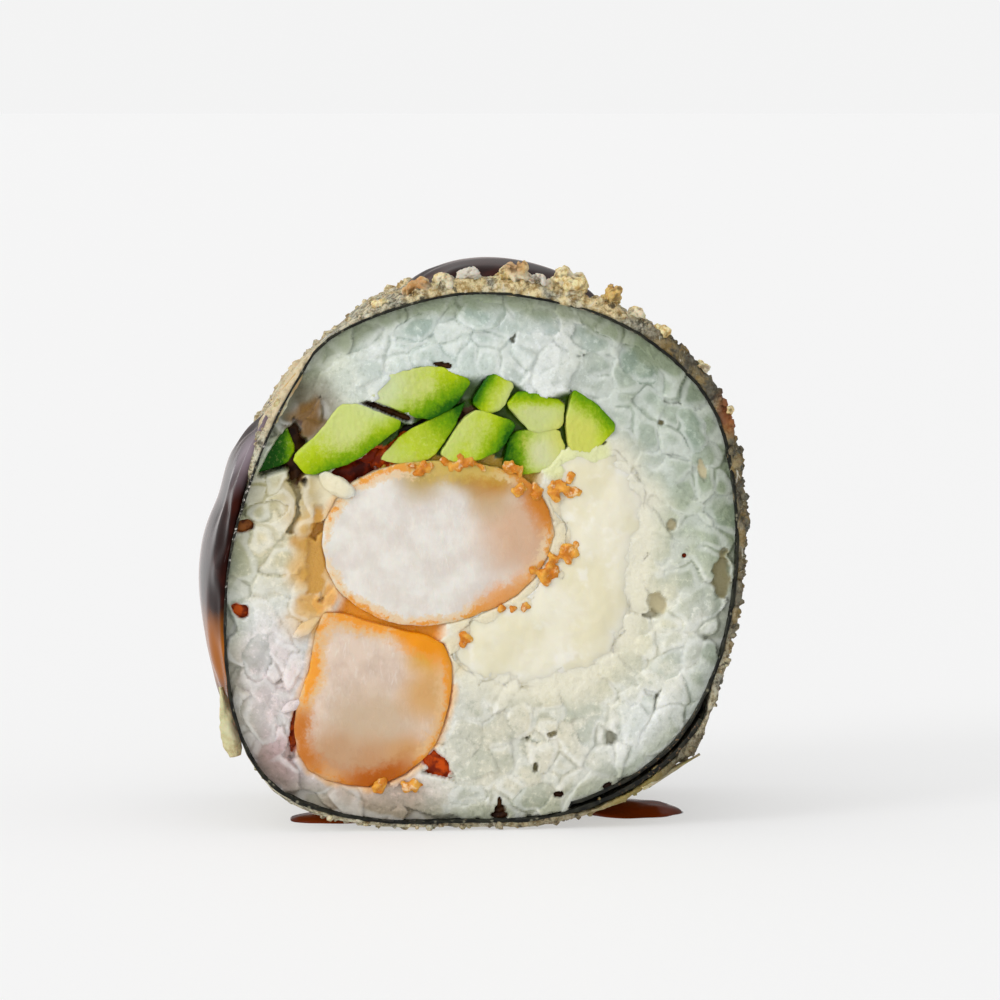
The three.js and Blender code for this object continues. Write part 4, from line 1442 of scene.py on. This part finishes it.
def makeCoatMaterial(name, goldShift):
    material, tree, shader, place = startMaterial(
        name, **{"Roughness": 0.62, "Specular IOR Level": 0.4, "Subsurface Weight": 0.12,
                 "Subsurface Scale": 0.5 * mm})
    fine = noiseNode(tree, place, 1800.0, 5.0, 0.75)
    patch = noiseNode(tree, place, 420.0, 3.0)
    grey = mixColour(tree, remap(tree, fine, 0.38, 0.62), rgb(92, 88, 72), rgb(196, 192, 170))
    gold = mixColour(tree, remap(tree, fine, 0.36, 0.62), rgb(158, 128, 70), rgb(234, 216, 166))
    top = near(tree, place, onFace(3, 46.5), 14, 0.5)
    goldMask = times(tree, remap(tree, patch, 0.34, 0.6), plus(tree, top, goldShift), True)
    base = mixColour(tree, goldMask, grey, gold)
    low = near(tree, place, onFace(6, 0.5), 15, 0.3)
    base = mixColour(tree, times(tree, low, 0.5), base, rgb(112, 92, 48))
    pores = noiseNode(tree, place, 1300.0, 4.0, 0.65, 0.5)
    base = mixColour(tree, remap(tree, pores, 0.45, 0.33, 0, 0.85), base, rgb(44, 38, 26))
    base = mixColour(tree, remap(tree, pores, 0.57, 0.68, 0, 0.55), base, rgb(228, 222, 202))
    right = near(tree, place, onFace(23.5, 28), 22, 0.3)
    streaky = stretchPlace(tree, place, (1.7, 1.2, 0.55))
    streaks = noiseNode(tree, streaky, 1300.0, 4.0, 0.7, 0.6)
    scorched = mixColour(tree, remap(tree, streaks, 0.42, 0.56), rgb(28, 24, 12), rgb(88, 74, 36))
    scorched = mixColour(tree, remap(tree, streaks, 0.58, 0.68), scorched, rgb(196, 192, 176))
    blotch = noiseNode(tree, place, 620.0, 3.0, 0.6)
    scorched = mixColour(tree, remap(tree, blotch, 0.5, 0.6, 0, 0.75), scorched, rgb(134, 108, 52))
    scorched = mixColour(tree, remap(tree, blotch, 0.48, 0.38, 0, 0.9), scorched, rgb(24, 20, 10))
    upper = times(tree, near(tree, place, onFace(17.8, 39.2), 8.5, 0.5), 0.85)
    scorchedMask = mathNode(tree, "MAXIMUM", times(tree, right, 0.8), upper)
    base = mixColour(tree, scorchedMask, base, scorched)
    stains = ((onFace(15.5, 5.5), 7.0, (54, 44, 18)), (onFace(12.5, 2.6), 5.0, (150, 132, 62)),
              (onFace(-16.5, 37), 6.0, (222, 202, 162)))
    base = stainAll(tree, place, base, stains, 0.6, 0.7)
    base = stainAll(tree, place, base, [(onFace(21.2, 35.0), 2.6, (150, 78, 18))], 0.5, 0.8)
    tree.links.new(base, shader.inputs["Base Color"])
    height = plus(tree, fine, pores)
    addBump(tree, shader, height, 0.7, 0.25)
    return material


tempuraCoat = makeCoat()
tempuraCoat.data.materials.append(makeCoatMaterial("friedBatter", 0.35))
batterCrumbs = makeCrumbs()
batterCrumbs.data.materials.append(makeCoatMaterial("friedCrumbs", 0.6))


def makeNuggetMaterial(name, light, shade):
    material, tree, shader, place = startMaterial(
        name, **{"Roughness": 0.5, "Specular IOR Level": 0.3, "Subsurface Weight": 0.2,
                 "Subsurface Scale": 0.4 * mm})
    fine = noiseNode(tree, place, 2400.0, 4.0, 0.7)
    base = mixColour(tree, remap(tree, fine, 0.36, 0.6), shade, light)
    patch = noiseNode(tree, place, 500.0, 2.0)
    base = mixColour(tree, remap(tree, patch, 0.46, 0.62, 0, 0.75), base, rgb(222, 216, 192))
    greys = [(onFace(-1.2, 46.2), 2.6, (204, 202, 196)), (onFace(4.6, 45.8), 1.6, (204, 202, 196))]
    base = stainAll(tree, place, base, greys, 0.6, 0.8)
    stains = [
        (onFace(-5.8, 45.6), 1.8, (176, 112, 50)), (onFace(2.6, 47.4), 1.6, (190, 134, 66)),
        (onFace(15.9, 5.3), 4.0, (96, 86, 34)), (onFace(11.0, 46.0), 2.6, (206, 160, 62)),
        (onFace(-15.6, 37.8), 2.4, (196, 150, 86)), (onFace(-21.3, 9.3), 4.0, (206, 204, 160))]
    base = stainAll(tree, place, base, stains, 0.6, 0.7)
    # painted shade in the lumps' hollows, partly the browner batter there
    base = mixColour(tree, times(tree, maskOf(tree, "hollowShade"), 0.7), base, rgb(92, 64, 28))
    tree.links.new(base, shader.inputs["Base Color"])
    addBump(tree, shader, fine, 0.6, 0.15)
    return material


batterNuggets = makeNuggets()
batterNuggets.data.materials.append(makeNuggetMaterial("goldenLumps", rgb(236, 222, 170), rgb(190, 158, 90)))
batterFlakes = makeFlakes()
batterFlakes.data.materials.append(makeNuggetMaterial("thinBatter", rgb(204, 192, 146), rgb(164, 144, 96)))
for piece in (tempuraCoat, batterCrumbs, batterNuggets, batterFlakes):
    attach(piece, "root")
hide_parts("tempura_coat")
print("coat done", len(tempuraCoat.data.polygons), len(batterCrumbs.data.polygons))

# Sauce.
sauce = {
    "voxel": 0.2,
    "smoothing": 30,
    # angle round the roll and half width in degrees, from and to in mm behind the front, thickness in mm, and
    # its lift over the batter
    "patches": [(83.5, 17.5, 0.7, 21.0, 0.6, 0.15), (182, 33, 0.3, 23.0, 0.35, 0.1)],
    "clear": 0.36,  # mm that it stays outside the seaweed's inner side
    # two small pools at the foot: right, mm behind the front, wide, deep, high
    "pools": [(13.4, 9.0, 8.6, 7.0, 1.0), (-12.0, 7.0, 8.0, 5.0, 0.7)],
}


def makeSauce():
    parts = []
    even = sum(np.roll(coatTable, shift, axis=1) for shift in range(-5, 6)) / 11
    for _ in range(3):
        padded = np.concatenate([even[:1], even, even[-1:]])
        even = (padded[:-2] + padded[1:-1] + padded[2:]) / 3
    even -= coatTable
    for number, (middle, half, start, end, thick, lift) in enumerate(sauce["patches"]):
        bpy.ops.mesh.primitive_grid_add(x_subdivisions=90, y_subdivisions=60, size=2)
        sheet = nameIt(bpy.context.object, f"saucePatch{number}")
        points = getPoints(sheet)
        around = points[:, 0]
        along = points[:, 1]
        angles = np.radians(middle + around * half * 1.15)
        ys = frontY + (start + (end - start) * (along * 0.5 + 0.5)) * mm
        shape = (np.abs(around) ** 2.4 + np.abs(along) ** 2.8) ** 0.4
        flat = np.stack([around * half * 0.4, along * 10, np.full(len(around), number * 9.0)], axis=1)
        border = 0.98 - shape
        border += 0.2 * noiseAt(flat, 4.6 / mm, 3.0, 2) * (1 - smoothStep(border, 0.1, 0.5))
        thickness = thick * (1.9 * np.sin(np.clip(border, 0, 1) * math.pi / 2) ** 0.8 - 0.9)
        thickness -= 0.6 * (1 - smoothStep(border, 0.0, 0.3))
        radii = coatSurface(angles, ys) + lookUp(even, angles, ys) + (thickness + lift) * mm
        setPoints(sheet, fromPolar(angles, radii, ys))
        addModifier(sheet, "SOLIDIFY", thickness=0.9 * mm, offset=-1)
        applyModifiers(sheet)
        parts.append(sheet)
    piece = joinAll(parts, "darkSauce")
    turnOutward(piece)
    remeshPiece(piece, sauce["voxel"], sauce["smoothing"], 0.7)
    points = getPoints(piece)
    angles, radii = polar(points)
    radii = np.maximum(radii, lookUp(wrapTable, angles, points[:, 1]) + sauce["clear"] * mm)
    setPoints(piece, fromPolar(angles, radii, points[:, 1]))
    smoothShade(piece)
    return piece


def makeSauceMaterial():
    material, tree, shader, place = startMaterial(
        "darkSauce", **{"Roughness": 0.2, "Specular IOR Level": 0.05})
    cloud = noiseNode(tree, place, 300.0, 2.0)
    base = mixColour(tree, remap(tree, cloud, 0.4, 0.65), rgb(30, 7, 4), rgb(54, 17, 8))
    for spot, reach in ((onFace(13.6, 0.6, 9), 7.0), (onFace(-12, 0.4, 7), 6.0)):
        base = mixColour(tree, near(tree, place, spot, reach, 0.5), base, rgb(112, 42, 4))
    # painted reflection: pale lilac-grey where the sauce turns away from view, only higher up
    facing = addNode(tree, "ShaderNodeLayerWeight", {"Blend": 0.5}).outputs["Facing"]
    axes = addNode(tree, "ShaderNodeSeparateXYZ", {"Vector": place}).outputs
    sheen = times(tree, remap(tree, facing, 0.92, 0.997), remap(tree, axes["Z"], 6 * mm, 14 * mm))
    forward = remap(tree, axes["Y"], frontY + 12 * mm, frontY + 5 * mm)
    base = mixColour(tree, sheen, base, rgb(186, 168, 164))
    # the grey-lilac patch high on the left flank is a painted reflection; the orange one low on the left is
    # the sauce's own colour
    stains = ((onFace(-21.5, 33.5, 4), 6.0, (140, 126, 134)), (onFace(-22.6, 14.6, 2), 4.6, (156, 88, 14)))
    base = stainAll(tree, place, base, stains, 0.7, forward)
    tree.links.new(base, shader.inputs["Base Color"])
    addBump(tree, shader, noiseNode(tree, place, 300.0, 2.0), 0.03, 0.2)
    return material


darkSauce = makeSauce()
darkSauce.data.materials.append(makeSauceMaterial())
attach(darkSauce, "root")
print("sauce done", len(darkSauce.data.polygons))


def makePools():
    parts = []
    for number, (right, behind, wide, deep, high) in enumerate(sauce["pools"]):
        bpy.ops.mesh.primitive_uv_sphere_add(segments=48, ring_count=24, radius=1)
        pool = nameIt(bpy.context.object, f"pool{number}")
        points = getPoints(pool)
        points *= 1 + 0.16 * noiseAt(points, 900.0, number * 3.0)[:, None]
        points *= np.array([wide / 2, deep / 2, high]) * mm
        points[:, 2] = np.maximum(points[:, 2], 0)
        points += np.array([centre.x + right * mm, frontY + behind * mm, 0])
        setPoints(pool, points)
        parts.append(pool)
    piece = joinAll(parts, "saucePools")
    smoothShade(piece)
    return piece


saucePools = makePools()
saucePools.data.materials.append(darkSauce.data.materials[0])
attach(saucePools, "root")

# Golden crumbs on the cut.
gold = {
    "seed": 23,
    "across": (0.45, 1.05),  # mm
    "voxel": 0.1,
    # clusters: right, up, half width, half height, how many
    "clusters": [
        (6.3, 28.6, 1.3, 0.8, 18), (3.8, 28.4, 1.5, 0.7, 12), (6.9, 23.3, 1.0, 0.8, 16),
        (4.8, 21.6, 1.2, 0.8, 10), (-1.6, 15.7, 0.3, 0.7, 4), (-2.4, 30.7, 2.6, 0.4, 14),
        (-5.4, 30.4, 2.0, 0.4, 9), (2.2, 30.3, 1.6, 0.4, 9), (-7.4, 3.8, 2.6, 0.4, 8),
        (2.6, 18.6, 2.6, 0.3, 6),
    ],
}


def makeGoldenCrumbs():
    draw = random.Random(gold["seed"])
    models = [makeCrumbModel(f"goldModel{i}", 2, 31.0 + i) for i in range(3)]
    crumbs = []
    for right, up, wide, high, count in gold["clusters"]:
        for number in range(count):
            across = draw.uniform(*gold["across"])
            x = right + draw.gauss(0, 0.5) * wide
            z = up + draw.gauss(0, 0.5) * high
            place = onFace(x, z, draw.uniform(0.1, 0.4))
            size = [across * draw.uniform(0.8, 1.3), across * 0.7, across * draw.uniform(0.7, 1.1)]
            spun = Matrix.Rotation(draw.uniform(0, 6.28), 4, "Y")
            matrix = stretched(Matrix.Translation(place) @ spun, size)
            crumbs.append(copyGrain(models[number % 3], matrix, f"gold{number}"))
    piece = joinAll(crumbs, "goldenCrumbs")
    for model in models:
        bpy.data.objects.remove(model)
    remeshPiece(piece, gold["voxel"], 3)
    points = getPoints(piece)
    setPoints(piece, pushOut(piece, points, 0.16 * noiseAt(points, 0.6, 2.0, 3)))
    smoothShade(piece)
    return piece


def makeGoldenMaterial():
    material, tree, shader, place = startSoftMaterial("goldenBatter", 0.35, 0.5, (1.4, 0.8, 0.4), 0.35, 0.3)
    cloud = noiseNode(tree, place, 900.0, 4.0)
    base = mixColour(tree, remap(tree, cloud, 0.38, 0.62), rgb(204, 122, 20), rgb(230, 168, 66))
    pale = remap(tree, noiseNode(tree, place, 1700.0, 3.0), 0.56, 0.7)
    base = mixColour(tree, times(tree, pale, 0.6), base, rgb(246, 224, 184))
    tree.links.new(base, shader.inputs["Base Color"])
    addBump(tree, shader, noiseNode(tree, place, 2400.0, 3.0), 0.4, 0.1)
    return material


goldenCrumbs = makeGoldenCrumbs()
goldenCrumbs.data.materials.append(makeGoldenMaterial())
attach(goldenCrumbs, "root")
print("small things done", len(saucePools.data.polygons), len(goldenCrumbs.data.polygons))

bpy.data.objects.remove(grainModel)

# Stage, light and camera.
stage = {
    "cameraAzimuth": -4.5,
    "cameraElevation": 5.0,
    "distance": 380,  # mm
    "viewWidth": 83,  # mm at the aim
    "aim": (1.3, 27.7),  # right of the middle and up, mm
    "backdrop": 0.9,  # brightness of the bare background
    "glow": 1.14,  # light from the upper left, in front
    "shade": 0.26,  # light from the other side
    "sun": 0.8,
    "floorGlow": 0.47,
}


def makeFloor():
    bpy.ops.mesh.primitive_plane_add(size=60, location=(0, 0, 0))
    floor = nameIt(bpy.context.object, "floor")
    makeActive(floor)
    bpy.ops.object.transform_apply(location=True, rotation=True, scale=True)
    material = startMaterial("paleFloor", **{
        "Roughness": 0.7, "Specular IOR Level": 0.2, "Base Color": rgb(178, 178, 178),
        "Emission Color": (1, 1, 1, 1), "Emission Strength": stage["floorGlow"]})[0]
    floor.data.materials.append(material)


def makeLights():
    world = bpy.data.worlds.new("studio")
    bpy.context.scene.world = world
    world.use_nodes = True
    tree = world.node_tree
    sky = tree.nodes["Background"]
    direction = addNode(tree, "ShaderNodeTexCoord").outputs["Generated"]
    towards = vectorNode(tree, "DOT_PRODUCT", direction, (-0.45, -0.35, 0.82)).outputs["Value"]
    glow = addNode(tree, "ShaderNodeMapRange",
                   {0: towards, 1: -0.4, 2: 1.0, 3: stage["shade"], 4: stage["glow"]}).outputs[0]
    seen = addNode(tree, "ShaderNodeLightPath").outputs["Is Camera Ray"]
    strength = addNode(tree, "ShaderNodeMix", {0: seen, 2: glow, 3: stage["backdrop"]},
                       data_type="FLOAT").outputs[0]
    sky.inputs["Color"].default_value = (1, 1, 1, 1)
    tree.links.new(strength, sky.inputs["Strength"])
    aim = Vector((0.8, 0.48, -0.5))  # from the left, a little in front and above
    bpy.ops.object.light_add(type="SUN", rotation=aim.to_track_quat("-Z", "Y").to_euler())
    sun = bpy.context.object
    sun.name = "softSun"
    sun.data.energy = stage["sun"]
    sun.data.angle = math.radians(22)


def makeCamera():
    azimuth = math.radians(stage["cameraAzimuth"])
    elevation = math.radians(stage["cameraElevation"])
    aim = onFace(stage["aim"][0], stage["aim"][1])
    back = Vector((math.sin(azimuth) * math.cos(elevation), -math.cos(azimuth) * math.cos(elevation),
                   math.sin(elevation)))
    bpy.ops.object.camera_add(location=aim + back * stage["distance"] * mm)
    camera = bpy.context.object
    camera.rotation_euler = (-back).to_track_quat("-Z", "Y").to_euler()
    camera.data.sensor_width = 36
    camera.data.lens = 36 * stage["distance"] / stage["viewWidth"]
    camera.data.clip_start = 0.01
    camera.data.clip_end = 20
    bpy.context.scene.camera = camera


makeFloor()
makeLights()
makeCamera()
bpy.context.scene.view_settings.view_transform = "Standard"
